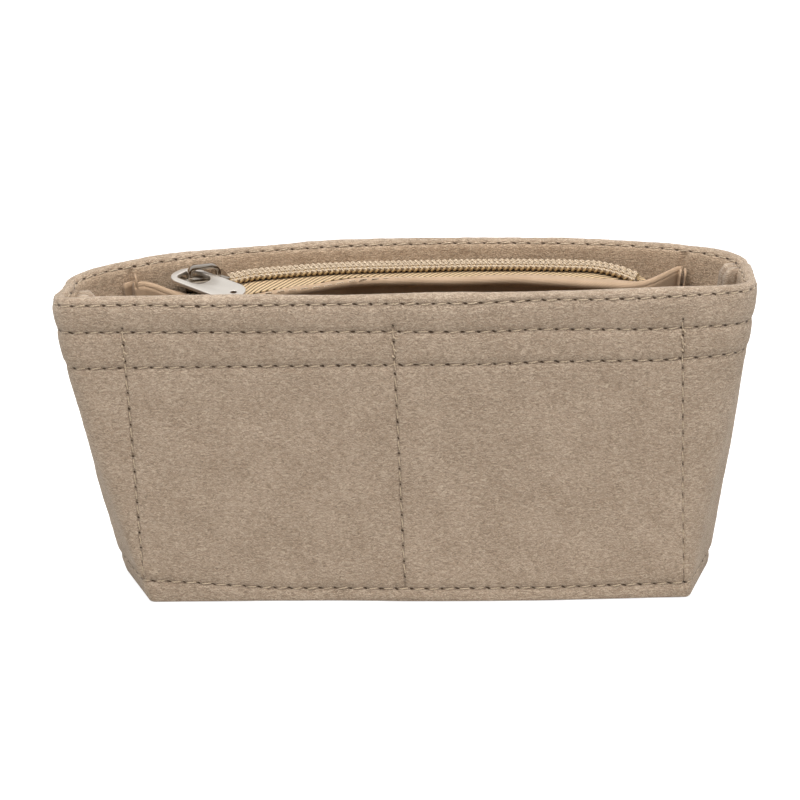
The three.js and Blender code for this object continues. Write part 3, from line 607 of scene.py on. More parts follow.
def wall_section():
    """The felt seen end on, as rows of inset, height, outward direction and running length: up the
    outside, over the rolled rim, down the hem inside, and down the inner face."""
    rows = []
    edge = 0.45
    for a in np.linspace(0, math.pi / 2, 4):
        rows.append((edge * (1 - math.sin(a)), edge * (1 - math.cos(a)), -math.sin(a), -math.cos(a),
                     edge - (math.pi / 2 - a) * edge))
    for z in np.linspace(edge, ROLL_FOOT, 150)[1:]:
        rows.append((0, z, -1, 0, z))
    for a in np.linspace(0, math.pi, 15)[1:]:
        rows.append((ROLL - ROLL * math.cos(a), ROLL_FOOT + ROLL * math.sin(a), -math.cos(a), math.sin(a),
                     ROLL_FOOT + ROLL * a))
    for z in np.linspace(ROLL_FOOT, HEM_FOOT + HEM_EDGE, 32)[1:]:
        rows.append((HEM_INSIDE, z, 1, 0, INNER_FACE - z))
    foot = INNER_FACE - HEM_FOOT - HEM_EDGE
    for a in np.linspace(0, math.pi / 2, 4)[1:]:
        rows.append((HEM_INSIDE - HEM_EDGE * (1 - math.cos(a)), HEM_FOOT + HEM_EDGE * (1 - math.sin(a)),
                     math.cos(a), -math.sin(a), foot + HEM_EDGE * a))
    rows.append((FELT, HEM_FOOT, 1, 0, foot + HEM_STEP))
    for z in np.linspace(HEM_FOOT, 0.5, 34)[1:]:
        rows.append((FELT, z, 1, 0, foot + HEM_STEP + HEM_FOOT - z))
    rows.append((FELT - 0.25, 0.0, 0, -1, foot + HEM_STEP + HEM_FOOT + 0.2))
    return np.array(rows).T


SECTION = wall_section()


def on_wall(u, v, lift=0.0):
    """A point on the felt: u along the rim, v along the section, lifted off its surface."""
    inset, z, across, up = (np.interp(v, SECTION[4], row) for row in SECTION[:4])
    z = z + rim_rise(u) * ramp(z, 35, 66)
    inset, z = inset + across * lift, np.clip(z + up * lift, 0, None)
    x, y = inset_point(u, z, inset)
    return stacked(x, y, z)


# Stitch lines. A row goes round the bag, and a column goes up it.

def rim_x(u):
    return around(u, RIM_LOOP[:, 0])


def rim_rise(u):
    """How much higher the front wall's rim stands than the side seams."""
    front = ramp(u, 2, 22) * (1 - ramp(u, FRONT_LENGTH - 26, FRONT_LENGTH - 4))
    return front * (0.45 + 0.5 * ramp(rim_x(u), 12, 34))


def rear_drop(u):
    """How much lower the upper row of the hem runs round the rear."""
    return 1.4 * ramp(u, FRONT_LENGTH - 6, FRONT_LENGTH + 6) * (1 - ramp(u, LOOP_LENGTH - 20, LOOP_LENGTH - 4))


ROWS = {
    "rim": lambda u: 68.2 + 0.35 * ramp(rim_x(u), 35, 60) + 0.4 * (1 - ramp(rim_x(u), -60, -45)),
    "hem_upper": lambda u: HEM_UPPER_ROW - 0.009 * rim_x(u) - rear_drop(u),
    "hem_lower": lambda u: HEM_LOWER_ROW + 0.001 * rim_x(u),
    "foot": lambda u: 3.0 + 2.2 * (1 - ramp(rim_x(u), -74, -38)) + 0.5 * ramp(rim_x(u), 10, 50),
    "rim_inside": lambda u: 72.75 + 0 * rim_x(u),
    "hem_upper_inside": lambda u: INNER_FACE - ROWS["hem_upper"](u),
    "hem_lower_inside": lambda u: INNER_FACE - ROWS["hem_lower"](u),
}
ROW_RUNS = {}


def lay_rows():
    """The running length of every row, so that its stitches are even all the way round."""
    u = np.linspace(-12, LOOP_LENGTH + 12, 1600)
    for name, line in ROWS.items():
        run = running(on_wall(u, line(u)))
        ROW_RUNS[name] = (u, run - np.interp(0.0, u, run))


lay_rows()
LEFT_SEAM, RIGHT_SEAM = -3.0, FRONT_LENGTH + 7.0
# Columns: x at the top and at the foot, and their two heights
COLUMNS = {
    "front_left": ("front", -60.9, -58.7, 63.4, 5.4),
    "front_middle": ("front", -3.1, -1.1, 63.4, 3.4),
    "front_right": ("front", 58.9, 60.4, 63.4, 3.4),
    "rear_left": ("rear", -61.0, -53.5, 66.5, 5.0),
    "rear_right": ("rear", 62.0, 56.0, 66.5, 5.0),
}
COLUMN_LINES = {}


def lay_columns():
    for name, (side, top_x, foot_x, top, foot) in COLUMNS.items():
        z = np.linspace(foot, top, 60)
        x = foot_x + (top_x - foot_x) * (z - foot) / (top - foot)
        COLUMN_LINES[name] = (z, find_u(side, x, z, 0.0))


lay_columns()
# Where the pouch's side seams crease the rear wall's inner face
CREASE_LINES = [float(find_u("rear", x, 66.0, HEM_INSIDE)) for x in (-61.0, 62.2)]


def row_lift(u, v):
    """How far the rows of stitching draw the felt in, with a pucker at every stitch."""
    lift = np.zeros(np.broadcast(u, v).shape)
    for k, (name, line) in enumerate(ROWS.items()):
        off = v - line(u)
        pucker = 0.8 + 0.2 * np.cos(2 * math.pi * (np.interp(u, *ROW_RUNS[name]) / PITCH + ROW_PHASE * k))
        lift -= ROW_DEPTH * np.exp(-(off / ROW_WIDTH) ** 2) * pucker
    return lift


def column_lift(u, v):
    lift = np.zeros(np.broadcast(u, v).shape)
    for z, line in COLUMN_LINES.values():
        off = u - np.interp(v, z, line)
        inside = ramp(v, z[0] - 1.5, z[0] + 0.5) * (1 - ramp(v, z[-1] - 0.5, z[-1] + 1.5))
        lift -= COLUMN_DEPTH * np.exp(-(off / COLUMN_WIDTH) ** 2) * inside
    return lift


def seam_distance(u):
    half = LOOP_LENGTH / 2
    return np.minimum(*(np.abs((u - seam + half) % LOOP_LENGTH - half) for seam in (LEFT_SEAM, RIGHT_SEAM)))


def felt_lift(u, v):
    """All the soft unevenness of the felt."""
    lift = row_lift(u, v) + column_lift(u, v)
    lower, upper, rim = (ROWS[row](u) for row in ("hem_lower", "hem_upper", "rim"))
    for low, high, puff in ((lower, upper, 0.2), (upper, rim, 0.16)):
        lift += puff * np.sin(math.pi * np.clip((v - low) / (high - low), 0, 1)) ** 0.7
    for line in CREASE_LINES:
        lift -= 0.6 * np.exp(-((u - line) / 0.8) ** 2) * ramp(v, 72.9, 73.8) * (1 - ramp(v, 79, 83))
    lift += 0.26 * smooth_noise(u, v, 23, 1) + 0.1 * smooth_noise(u, v, 7.5, 2)
    lift += 0.045 * smooth_noise(u, v, 1.9, 3) + 0.03 * smooth_noise(u, v, 0.9, 4)
    outside = v < ROLL_FOOT + 0.6 * math.pi * ROLL
    pull = np.where(outside, 0.42, 0.2) * (0.25 + 0.75 * ramp(v, 5, 26))
    lift -= pull * np.exp(-(seam_distance(u) / 1.1) ** 2)
    return lift * ramp(v, -0.6, 1.5)


def on_felt(u, v, lift):
    """A point lifted off the felt's uneven surface."""
    return on_wall(u, v, felt_lift(u, v) + lift)


def stitch_maps(u, v, quads):
    """For every corner of every face, its distance from that face's nearest row and column of
    stitches, and its place along them."""
    cu, cv = u.ravel()[quads], v.ravel()[quads]
    middle = cv.mean(axis=1)

    def nearest(lines, limit):
        best = np.full(len(quads), limit)
        chosen = np.full(quads.shape + (2,), NO_STITCH)
        for off, along, reached in lines:
            near = np.where(reached, np.abs(off.mean(axis=1)), limit)
            take = near < best
            best = np.where(take, near, best)
            chosen[take] = stacked(off, along)[take]
        return chosen.reshape(-1, 2)

    rows = [(cv - line(cu), np.interp(cu, *ROW_RUNS[name]) / PITCH + ROW_PHASE * k, True)
            for k, (name, line) in enumerate(ROWS.items())]
    columns = [(cu - np.interp(cv, z, line), (cv - z[-1]) / COLUMN_PITCH,
                (middle > z[0] - 0.3) & (middle < z[-1] + 0.3)) for z, line in COLUMN_LINES.values()]
    return {"rows": nearest(rows, 1e9), "columns": nearest(columns, 12.0)}


def felt_panel(name, start, end, columns):
    row_u = np.linspace(start, end, columns)
    u, v = np.meshgrid(row_u, SECTION[4], indexing="ij")
    points = on_felt(u, v, 0.0).reshape(-1, 3)
    rows = len(SECTION[4])
    quads = grid_faces(columns, rows, wrap_rows=True)
    outline = [Vector((a, b, 0)) for a, b in SECTION[:2].T]
    cap = np.array(tessellate_polygon([outline]))
    last = (columns - 1) * rows
    faces = quads.tolist() + cap.tolist() + (cap[:, ::-1] + last).tolist()
    run = running(on_wall(u, v))
    uv = stacked(run - run[columns // 2], v).reshape(-1, 2) * MM
    caps = np.concatenate([cap.ravel(), (cap[:, ::-1] + last).ravel()])
    uvs = {"cloth": np.concatenate([uv[quads.ravel()], uv[caps]])}
    for key, values in stitch_maps(u, v, quads).items():
        uvs[key] = np.concatenate([values, np.full((len(caps), 2), NO_STITCH)])
    piece = mesh_piece(name, points, faces, uvs)
    fix_caps(piece)
    return piece


def fix_caps(piece):
    """Turns all faces of a closed piece the same way, outwards."""
    work = bmesh.new()
    work.from_mesh(piece.data)
    bmesh.ops.recalc_face_normals(work, faces=work.faces)
    work.to_mesh(piece.data)
    work.free()
    if signed_volume(piece.data) < 0:
        piece.data.flip_normals()
    piece.data.shade_smooth()


def build_shell():
    front = felt_panel("front_felt_panel", LEFT_SEAM + SEAM_GAP, RIGHT_SEAM - SEAM_GAP, 392)
    finish_piece(front, felt_stitched, stands_for=["front_panel"])
    rear = felt_panel("rear_felt_panel", RIGHT_SEAM + SEAM_GAP, LOOP_LENGTH + LEFT_SEAM - SEAM_GAP, 356)
    finish_piece(rear, felt_stitched, stands_for=["rear_panel"])


def build_base():
    """The base: a felt tray, its edge turned up inside the walls."""
    columns = 300
    u = np.linspace(0, LOOP_LENGTH, columns, endpoint=False)
    soft = closed_loop(base_half(BASE_FRONT, 5.5), base_half(BASE_REAR, 5.5))
    profile = [(2.9, 0.0), (2.2, 0.3), (1.9, 1.0), (1.9, 2.6), (1.9, 4.4), (2.2, 4.9), (2.7, 5.1), (3.2, 4.9),
               (3.5, 4.4), (3.5, 3.0), (3.8, 2.0), (4.6, 1.6)]
    ax, ay = (around(u - 2.5, soft[:, k]) for k in (0, 1))
    bx, by = (around(u + 2.5, soft[:, k]) for k in (0, 1))
    length = np.hypot(bx - ax, by - ay)
    nx, ny = -(by - ay) / length, (bx - ax) / length
    x, y = around(u, soft[:, 0]), around(u, soft[:, 1])
    # The ends and front corners are pushed out until they meet the leaning walls
    push = 0.55 * ramp(np.abs(nx), 0.05, 0.4) + 0.35 * np.exp(-((np.abs(nx) - 0.45) / 0.18) ** 2)
    push = push * ramp(-y, -6, 0)
    centre = np.array([(BASE_LEFT + BASE_RIGHT) / 2, (BASE_FRONT + BASE_REAR) / 2])

    def ring(inset, z, share=1.0, back=0.0):
        """The tray's outline, drawn in by the inset and shrunk about its middle."""
        ring_x = centre[0] + (x + nx * (inset - push) - centre[0]) * share
        ring_y = centre[1] + (y + ny * (inset - push) - centre[1]) * share + back
        return [ring_x, ring_y, z + 0 * x]

    shares = np.linspace(0.02, 0.94, 16)
    rings = [ring(profile[0][0], 0.0, share) for share in shares]
    for inset, z in profile:
        lean = loop_point(u, z + 0 * u)[1] - loop_point(u, 0 * u)[1]
        rings.append(ring(inset, z, back=np.clip(lean, 0, None) * ramp(y, -4, 8)))
    rings += [ring(profile[-1][0], FELT, share) for share in shares[::-1]]
    points = np.array(rings).transpose(0, 2, 1)
    wave = 0.05 * smooth_noise(points[..., 0], points[..., 1], 1.6, 8)
    points[..., 2] += np.where(points[..., 2] > 1.0, wave, 0)
    points[..., 1] -= foot_belly(points[..., 0]) * ramp(-points[..., 1], 8, 20)
    uv = points[..., :2].reshape(-1, 2) * MM
    faces = grid_faces(len(rings), columns, wrap_rows=True).tolist()
    faces.append(list(range(columns)))
    faces.append([(len(rings) - 1) * columns + k for k in range(columns)][::-1])
    piece = mesh_piece("base_felt_panel", points.reshape(-1, 3), faces, {"cloth": uv})
    fix_caps(piece)
    finish_piece(piece, felt_plain, stands_for=["base_panel"])


def sheet_shell(outer, inner):
    """The points and faces of a closed sheet between two grids of points (columns, rows, 3)."""
    columns, rows = outer.shape[:2]
    first = columns * rows
    points = np.vstack([outer.reshape(-1, 3), inner.reshape(-1, 3)])
    quads = grid_faces(columns, rows)
    number = np.arange(first).reshape(columns, rows)
    edge = np.concatenate([number[:, 0], number[-1, 1:], number[-2::-1, -1], number[0, -2:0:-1]])
    following = np.roll(edge, -1)
    sides = np.stack([edge, edge + first, following + first, following], axis=1)
    return points, quads.tolist() + (quads[:, ::-1] + first).tolist() + sides.tolist()


def thick_sheet(name, outer, inner, material_uv):
    uv = np.concatenate([material_uv.reshape(-1, 2)] * 2) * MM
    piece = mesh_piece(name, *sheet_shell(outer, inner), {"cloth": uv})
    fix_caps(piece)
    return piece


def grid_normals(grid):
    normal = np.cross(np.gradient(grid, axis=0), np.gradient(grid, axis=1))
    return normal / np.maximum(np.linalg.norm(normal, axis=2, keepdims=True), 1e-9)


def grid_runs(grid):
    """Running lengths across and up a grid, for its cloth map."""
    u, v = running(grid).mean(axis=1), running(grid, 1)
    return stacked(u[:, None], v)


def build_front_pocket():
    """The slip pocket on the inside of the front wall, its mouth edge rounded."""
    z = np.concatenate([np.linspace(5.4, 50, 40), np.linspace(50.6, 61, 24)])
    inset = np.interp(z, [5.4, 20, 50, 52.6, 61], [1.95, 2.3, 2.6, 3.85, 3.85])
    side = np.linspace(-1, 1, 220)
    zz = z[None, :] + 0 * side[:, None]
    half = 55.0 + (58.3 - 55.0) * zz / 61
    x = 2.2 * (1 - zz / BAG_HEIGHT) + side[:, None] * half
    inset = np.broadcast_to(inset, x.shape)
    u = find_u("front", x, zz, inset)
    lift = 0.12 * smooth_noise(u, zz, 14, 21) + 0.04 * smooth_noise(u, zz, 1.6, 22)
    for place, line in COLUMN_LINES.values():
        lift = lift - 0.3 * np.exp(-((u - np.interp(zz, place, line)) / 0.9) ** 2)
    lift = lift - 0.3 * np.exp(-((zz - 58.6) / 0.8) ** 2)
    edge = 1 - ramp(zz, 60.3, 61.15)
    sides = ramp(1 - np.abs(side[:, None]), -0.004, 0.012)
    swell = np.minimum(edge, sides)
    px, py = inset_point(u, zz, inset + 0.7 - 0.7 * swell)
    qx, qy = inset_point(u, zz, inset + 0.7 + 0.7 * swell + np.clip(lift, -0.35, 0.5))
    piece = thick_sheet("front_slip_pocket", stacked(qx, qy, zz), stacked(px, py, zz), stacked(u, zz))
    finish_piece(piece, felt_plain, stands_for=["front_pocket_panel"])


def build_side_allowances():
    """The side seams' turned edges, two layers of felt standing into the bag."""
    for name, seam, deep, low_start, cut, tip in (
            ("side_seam_edges_left", LEFT_SEAM, 4.2, 0.9, 0.0122, 67.4),
            ("side_seam_edges_right", RIGHT_SEAM, 3.4, 1.3, 0.0112, 68.9)):
        points, faces, uv = [], [], []
        sides = 20
        angle = np.linspace(0, 2 * math.pi, sides, endpoint=False)
        across, along = superpower(np.cos(angle), 0.5), superpower(np.sin(angle), 0.5)
        z = np.concatenate([np.linspace(5.6, 50, 26), np.linspace(51, tip, 22)])
        for layer in (-1, 1):
            rings = []
            for height in z:
                top = float(1 - ramp(height, tip - 1.7, tip + 0.1))
                thick = 1.5 + 1.0 * float(ramp(height, 51.5, 53.5))
                reach = deep * (0.75 + 0.25 * float(ramp(height, 20, 60))) * (0.72 + 0.28 * top)
                start = low_start + 1.8 * float(ramp(height, 51, 53))
                shrink = 0.55 + 0.45 * top
                du = layer * (thick / 2 + SEAM_GAP) + across * thick / 2 * shrink
                du = du + 0.35 * layer * (along + 1) / 2
                inset = start + reach * (along + 1) / 2
                wave = 0.16 * smooth_noise(inset, height, 6, 31)
                x, y = inset_point(seam, height, inset, reach=3.0)
                tx, ty = wall_direction(seam, height, 3.0)
                rings.append(stacked(x + tx * (du + wave), y + ty * (du + wave), height))
                uv.append(stacked(inset + du + 5 * layer, height) * MM)
            first = sum(len(p) for p in points)
            faces += (grid_faces(len(z), sides, wrap_rows=True) + first).tolist()
            faces += end_caps(first, len(z), sides)
            points.append(np.array(rings).reshape(-1, 3))
        piece = mesh_piece(name, np.vstack(points), faces, {"cloth": np.vstack(uv)})
        fix_caps(piece)
        finish_piece(piece, felt_plain)


# Thread

def stitch_thread(name, place, length, pitch=PITCH, phase=0.0, slant=0.28, radius=THREAD, first=0.0):
    """One line of lockstitch: a short slanting tube for every stitch, its ends down in the holes.
    place(s, off, lift) gives the point s along the line, off beside it, lifted off the cloth."""
    rng = np.random.default_rng(SEED + len(name))
    starts = np.arange(math.ceil(first / pitch - phase), math.floor((first + length) / pitch - phase))
    starts = (starts + phase) * pitch
    t = np.linspace(0, 1, 8)
    begin = starts + HOLE_INSET + rng.uniform(-0.1, 0.1, len(starts))
    end = starts + pitch - HOLE_INSET + rng.uniform(-0.1, 0.1, len(starts))
    s = begin[:, None] + (end - begin)[:, None] * t
    lean = slant * (1 + rng.uniform(-0.5, 0.5, len(starts)))
    off = (t - 0.5) * lean[:, None] + rng.uniform(-0.06, 0.06, len(starts))[:, None]
    arch = np.minimum(1, np.sin(math.pi * t) / 0.5)
    lift = -THREAD_SUNK + THREAD_ARCH * arch + rng.uniform(-0.05, 0.05, len(starts))[:, None]
    centres = place(s, off, lift)
    ups = place(s, off, lift + 0.5) - centres
    radii = radius * (0.6 + 0.4 * arch) + 0 * s
    piece = mesh_piece(name, *tubes(centres, ups, radii, 6))
    return finish_piece(piece, thread)


def build_threads():
    for k, (name, line) in enumerate(ROWS.items()):
        def place(s, off, lift, line=line, runs=ROW_RUNS[name]):
            u = np.interp(s, runs[1], runs[0])
            return on_felt(u, line(u) + off, lift)
        length = float(np.interp(LOOP_LENGTH, *ROW_RUNS[name]))
        stitch_thread("thread_" + name, place, length - 2.0, phase=(-ROW_PHASE * k) % 1, first=1.0)
    for name, (z, line) in COLUMN_LINES.items():
        def place(s, off, lift, z=z, line=line):
            height = z[-1] - s
            return on_felt(np.interp(height, z, line) + off, height, lift)
        stitch_thread("thread_" + name, place, z[-1] - z[0], pitch=COLUMN_PITCH)
        if name.startswith("front"):
            def tack(s, off, lift, place=place):
                return place(s + 2.0, off + 0.34 * np.sin(2 * math.pi * s / 3.1), lift + 0.2)
            stitch_thread("thread_" + name + "_tack", tack, 5.6, pitch=1.4, slant=0.5, radius=0.19)


# Zip

def chain_bend(x):
    """Past its last stitches the chain's right end is drawn forward and down into the pouch."""
    t = np.clip((np.asarray(x) - 40.0) / 12.5, 0, None) ** 2
    return 3.6 * t, 2.0 * t


def on_chain(x, offset, height):
    """A point by the zip: x along it, offset behind its centre line, height above the tape."""
    angle = np.arcsin((x - CHAIN_X) / CHAIN_RADIUS)
    radius = CHAIN_RADIUS + offset
    px = CHAIN_X + radius * np.sin(angle)
    py = CHAIN_Y - CHAIN_RADIUS + radius * np.cos(angle)
    forward, down = chain_bend(x)
    rise = ZIP_RISE * ramp(x, -46, -38) + 0.45 * ramp(x, -39, -34) * (1 - ramp(x, -20, 5))
    height = height - down + rise
    turned_x = px * math.cos(CHAIN_TILT) - height * math.sin(CHAIN_TILT)
    turned_z = px * math.sin(CHAIN_TILT) + height * math.cos(CHAIN_TILT)
    return stacked(turned_x, py - forward, turned_z + TAPE_TOP)


def build_coils():
    """Two rows of nylon filament coil whose heads interlock, each with its filler cord, and the
    thread that sews it to its tape."""
    turns = int((CHAIN_RIGHT - CHAIN_LEFT) / COIL_PITCH)
    per_turn, per_cord, per_stitch = 12, 120, 6
    cord_offsets, cord_height, cord_radius = (0.7, 1.6), 0.85, 0.46
    sewing_radius = 0.19
    half = (COIL_OUTER + COIL_OVERLAP) / 2
    for side, name, lean, start in ((1, "rear", 0.1, 0.75), (-1, "front", -0.16, 0.25)):
        t = np.arange(turns * per_turn) / per_turn
        phi = 2 * math.pi * t
        middle = side * (COIL_OUTER - half)
        across = middle - side * half * superpower(np.cos(phi), 0.8)
        radius = (COIL_TOP - COIL_FOOT) / 2 - COIL_FILAMENT
        height = COIL_FOOT + COIL_FILAMENT + radius + side * radius * superpower(np.sin(phi), 0.8)
        x = CHAIN_LEFT + (t + lean * np.sin(phi) + start) * COIL_PITCH
        centres = on_chain(x, across, height)
        axis = on_chain(x, middle, COIL_FOOT + COIL_FILAMENT + radius)
        turned = tubes(centres[None], (centres - axis)[None], np.full((1, len(t)), COIL_FILAMENT), 6)
        piece = mesh_piece(f"coil_row_{name}_filament", *turned)
        finish_piece(piece, coil, stands_for=["coil_row_" + name])
        x = np.linspace(CHAIN_LEFT + 0.5, CHAIN_RIGHT, per_cord)
        cord, above = (np.stack([on_chain(x, side * offset, height) for offset in cord_offsets])
                       for height in (cord_height, cord_height + 1))
        radii = np.full((len(cord_offsets), per_cord), cord_radius)
        piece = mesh_piece(f"coil_{name}_filler_cord", *tubes(cord, above - cord, radii, 8))
        finish_piece(piece, thread)
        for offset, place in ((0.5, "crown"), (1.4, "inner"), (2.35, "outer")):
            x = CHAIN_LEFT + 0.6 + np.arange(turns * per_stitch) / per_stitch * COIL_PITCH
            high = COIL_TOP + (-0.3 if place == "outer" else 0.0)
            wave = np.cos(2 * math.pi * (x - CHAIN_LEFT) / COIL_PITCH + side)
            sway = 0.06 * np.sin(4 * math.pi * x / COIL_PITCH)
            line = on_chain(x, side * (offset + sway), high + 0.12 * wave)
            up = on_chain(x, side * offset, high + 1) - line
            radii = sewing_radius + 0.05 * wave
            piece = mesh_piece(f"coil_{name}_sewing_{place}", *tubes(line[None], up[None], radii[None], 6))
            finish_piece(piece, thread)


def pouch_forward(x):
    """How far in front of the chain's crown the pouch's fold lies."""
    width = POUCH_RIGHT - POUCH_LEFT
    line = free_curve([(POUCH_LEFT + s * width, f) for s, f in POUCH_FOLD], np.linspace(0, 1, 400))
    return np.interp(x, line[:, 0], line[:, 1])


def chain_line_y(x):
    return CHAIN_Y - CHAIN_RADIUS + np.sqrt(CHAIN_RADIUS ** 2 - (x - CHAIN_X) ** 2)


def shoulder_gap(x):
    """Distance from the chain's centre line to the edge of the pouch cloth on the tape."""
    wide = 4.3 * ramp(x, -47, -36) * (1 - ramp(x, -24, -8))
    return 5.0 + 0.4 * ramp(x, 30, 40) + wide + 0.2 * np.sin(x * 0.21)


def build_tapes():
    x = np.linspace(-50.0, 52.3, 260)[:, None]
    fold_y = CHAIN_Y - pouch_forward(x)
    room = chain_line_y(x) - chain_bend(x)[0] - fold_y - 1.1
    reach = np.maximum(np.minimum(np.minimum(shoulder_gap(x) + 2.0, 11.0), room), 1.5)
    across = np.linspace(0, 1, 26)
    near = 0.9
    offset = -(near + (reach - near) * across)
    sag = -0.15 * across * ramp(reach, 5, 9)
    top = on_chain(x, offset, sag + 0.04 * smooth_noise(x, offset, 5, 41))
    under = on_chain(x, offset, -TAPE_THICK + sag)
    piece = thick_sheet("zip_tape_front_twill", top, under, stacked(x, offset))
    finish_piece(piece, tape, stands_for=["zip_tape_front"])
    x = np.linspace(-43.8, 52.3, 240)[:, None]
    path = np.array([
        (near, 0.0), (2.5, 0.0), (4.6, 0.0), (5.05, -0.12), (5.3, -0.6), (5.3, -2), (5.3, -4), (5.3, -6),
    ])
    path = spaced(path, np.linspace(0, 1, 30))
    outer = on_chain(x, path[:, 0], path[:, 1])
    normal = grid_normals(outer)
    inner = outer - TAPE_THICK * normal * np.sign(normal[100, 3, 2])
    piece = thick_sheet("zip_tape_rear_twill", outer, inner, stacked(x, np.linspace(0, 10.5, 30)))
    finish_piece(piece, tape, stands_for=["zip_tape_rear"])


# Pouch

def fold_height(x):
    """The height of the pouch's fold."""
    middle = 0.4 * ramp(x, -34, -20) * (1 - ramp(x, 36, 50))
    rise = 0.55 * ramp(x, 50, 62) + 2.6 * (1 - ramp(x, -62, -44.5)) + middle
    droop = 0.25 * smooth_noise(x, 0 * x, 13, 51)
    return TAPE_TOP + 0.3 + x * math.tan(CHAIN_TILT) + rise + droop * ramp(x, -60, -50) * (1 - ramp(x, 46, 60))


def pouch_x(x, share):
    """The cloth narrows from its mouth, at share 1, to its foot, at share 0."""
    along = (x - POUCH_LEFT) / (POUCH_RIGHT - POUCH_LEFT)
    foot_x = POUCH_FOOT_LEFT + (POUCH_FOOT_RIGHT - POUCH_FOOT_LEFT) * along
    return foot_x + (x - foot_x) * share


def build_pouch_front():
    """The pouch's front cloth: up from its foot, over a soft fold, and back onto the tape."""
    x = np.concatenate([
        np.linspace(POUCH_LEFT, -50, 40), np.linspace(-49.6, 52, 250), np.linspace(52.3, POUCH_RIGHT, 40),
    ])
    high = fold_height(x)
    rim = wall_y("rear", x, high, HEM_INSIDE + 0.9)
    fold = np.minimum(CHAIN_Y - pouch_forward(x), rim - 1.4)
    nose = 0.4
    below = high[:, None] - 2 * nose - POUCH_FOOT
    z = POUCH_FOOT + below * (1 - np.linspace(1, 0, 46) ** 1.6)
    share = (z - POUCH_FOOT) / (high[:, None] - POUCH_FOOT)
    near_x = pouch_x(x[:, None], share)
    wall = wall_y("rear", near_x, z, FELT + 3.2)
    belly = np.sin(math.pi / 2 * np.minimum(1, 1.35 * share ** 0.75))
    wrinkle = 0.5 * smooth_noise(near_x, z, 11, 52) + 0.2 * smooth_noise(near_x, z * 0.4, 4, 53)
    # Under the fold the cloth tucks back, which leaves the dark gap behind the front rim
    drop = high[:, None] - 2 * nose - z
    tuck = (6 * ramp(x, -42, -24) * (1 - ramp(x, 36, 50)))[:, None]
    tuck = tuck * (1 - np.exp(-drop / 0.8)) * np.exp(-(drop / 26) ** 2)
    y = np.minimum(wall, rim[:, None]) - (rim - fold - nose)[:, None] * belly
    y = y + tuck + wrinkle * np.sin(math.pi * share) * 0.8
    front = stacked(near_x, y, z)
    angle = np.radians(np.linspace(-75, 90, 12))
    round_y = (fold + nose)[:, None] - nose * np.cos(angle)
    round_z = (high - nose)[:, None] + nose * np.sin(angle)
    nosing = stacked(x[:, None], round_y, round_z)
    closed = np.clip((1 - ramp(x, -56.5, -50.6)) + ramp(x, 51.6, 56), 0, 1)
    edge = np.minimum(rim, chain_line_y(x) - shoulder_gap(x))
    edge = edge + (rim - edge) * closed
    edge = np.maximum(edge, fold + 1)
    back = np.linspace(0, 1, 22)[1:]
    shoulder_y = (fold + nose)[:, None] + (edge - fold - nose)[:, None] * back
    flat = high[:, None] + 0.10 * smooth_noise(x[:, None], shoulder_y, 5, 54) * np.sin(math.pi * back) ** 0.5
    flat = flat - 9 * closed[:, None] * back ** 0.7
    shoulder = stacked(x[:, None], shoulder_y, flat)
    grid = np.concatenate([front[:, :-1], nosing, shoulder], axis=1)
    normal = grid_normals(grid)
    if normal[150, 20, 1] > 0:
        normal = -normal
    piece = thick_sheet("pouch_front_lining", grid + 0.5 * normal, grid + 0.1 * normal, grid_runs(grid))
    finish_piece(piece, lining, stands_for=["pouch_front_cloth"])


def build_pouch_edges():
    """The raw side edges of the pouch's cloths, which stand out past the seams that hold them."""
    strips = {
        "left": [((-60.0, 4.0), (-62.8, 4.2), 66.1), ((-60.2, 3.9), (-59.8, 6.3), 67.7)],
        "right": [((61.7, 3.9), (61.1, 7.4), 65.6), ((62.4, 3.9), (62.3, 6.6), 65.3)],
    }
    for side, rows in strips.items():
        narrowing, half_cloth = (6.5 if side == "left" else -6.0), 0.22
        points, faces, uvs = [], [], []
        for (x0, inset0), (x1, inset1), top in rows:
            s = np.linspace(0, 1, 9)[:, None]
            z = np.linspace(9, top, 50)[None, :] - 0.5 * np.clip(s - 0.6, 0, 1) ** 2 * 6
            x = x0 + (x1 - x0) * s + 0.12 * smooth_noise(z, 0 * z, 7, 71) + narrowing * (top - z) / (top - 6)
            inset = inset0 + (inset1 - inset0) * s + 0.2 * smooth_noise(z, 9 + 0 * z, 9, 72)
            place = inset_point(find_u("rear", x, z, inset), z, inset)
            grid = stacked(*place, z)
            shift = half_cloth * grid_normals(grid)
            first = sum(len(p) for p in points)
            part_points, part_faces = sheet_shell(grid + shift, grid - shift)
            points.append(part_points)
            faces += [[first + k for k in face] for face in part_faces]
            uvs += [grid_runs(grid).reshape(-1, 2)] * 2
        piece = mesh_piece("pouch_side_edges_" + side, np.vstack(points), faces, {"cloth": np.vstack(uvs) * MM})
        fix_caps(piece)
        finish_piece(piece, lining)


def build_pouch_rear():
    share = np.linspace(0, 1, 40)
    z = POUCH_FOOT + (53.2 - POUCH_FOOT) * share
    near_x = pouch_x(np.linspace(POUCH_LEFT, POUCH_RIGHT, 180)[:, None], share)
    zz = np.broadcast_to(z, near_x.shape)
    u = find_u("rear", near_x, zz, 2.8)
    outer_x, outer_y = inset_point(u, zz, 2.75)
    wave = 0.1 * (1 + smooth_noise(near_x, zz, 8, 61))
    inner_x, inner_y = inset_point(u, zz, 3.15 + wave)
    inner, outer = stacked(inner_x, inner_y, zz), stacked(outer_x, outer_y, zz)
    piece = thick_sheet("pouch_rear_lining", inner, outer, stacked(u, zz))
    finish_piece(piece, lining, stands_for=["pouch_rear_cloth"])


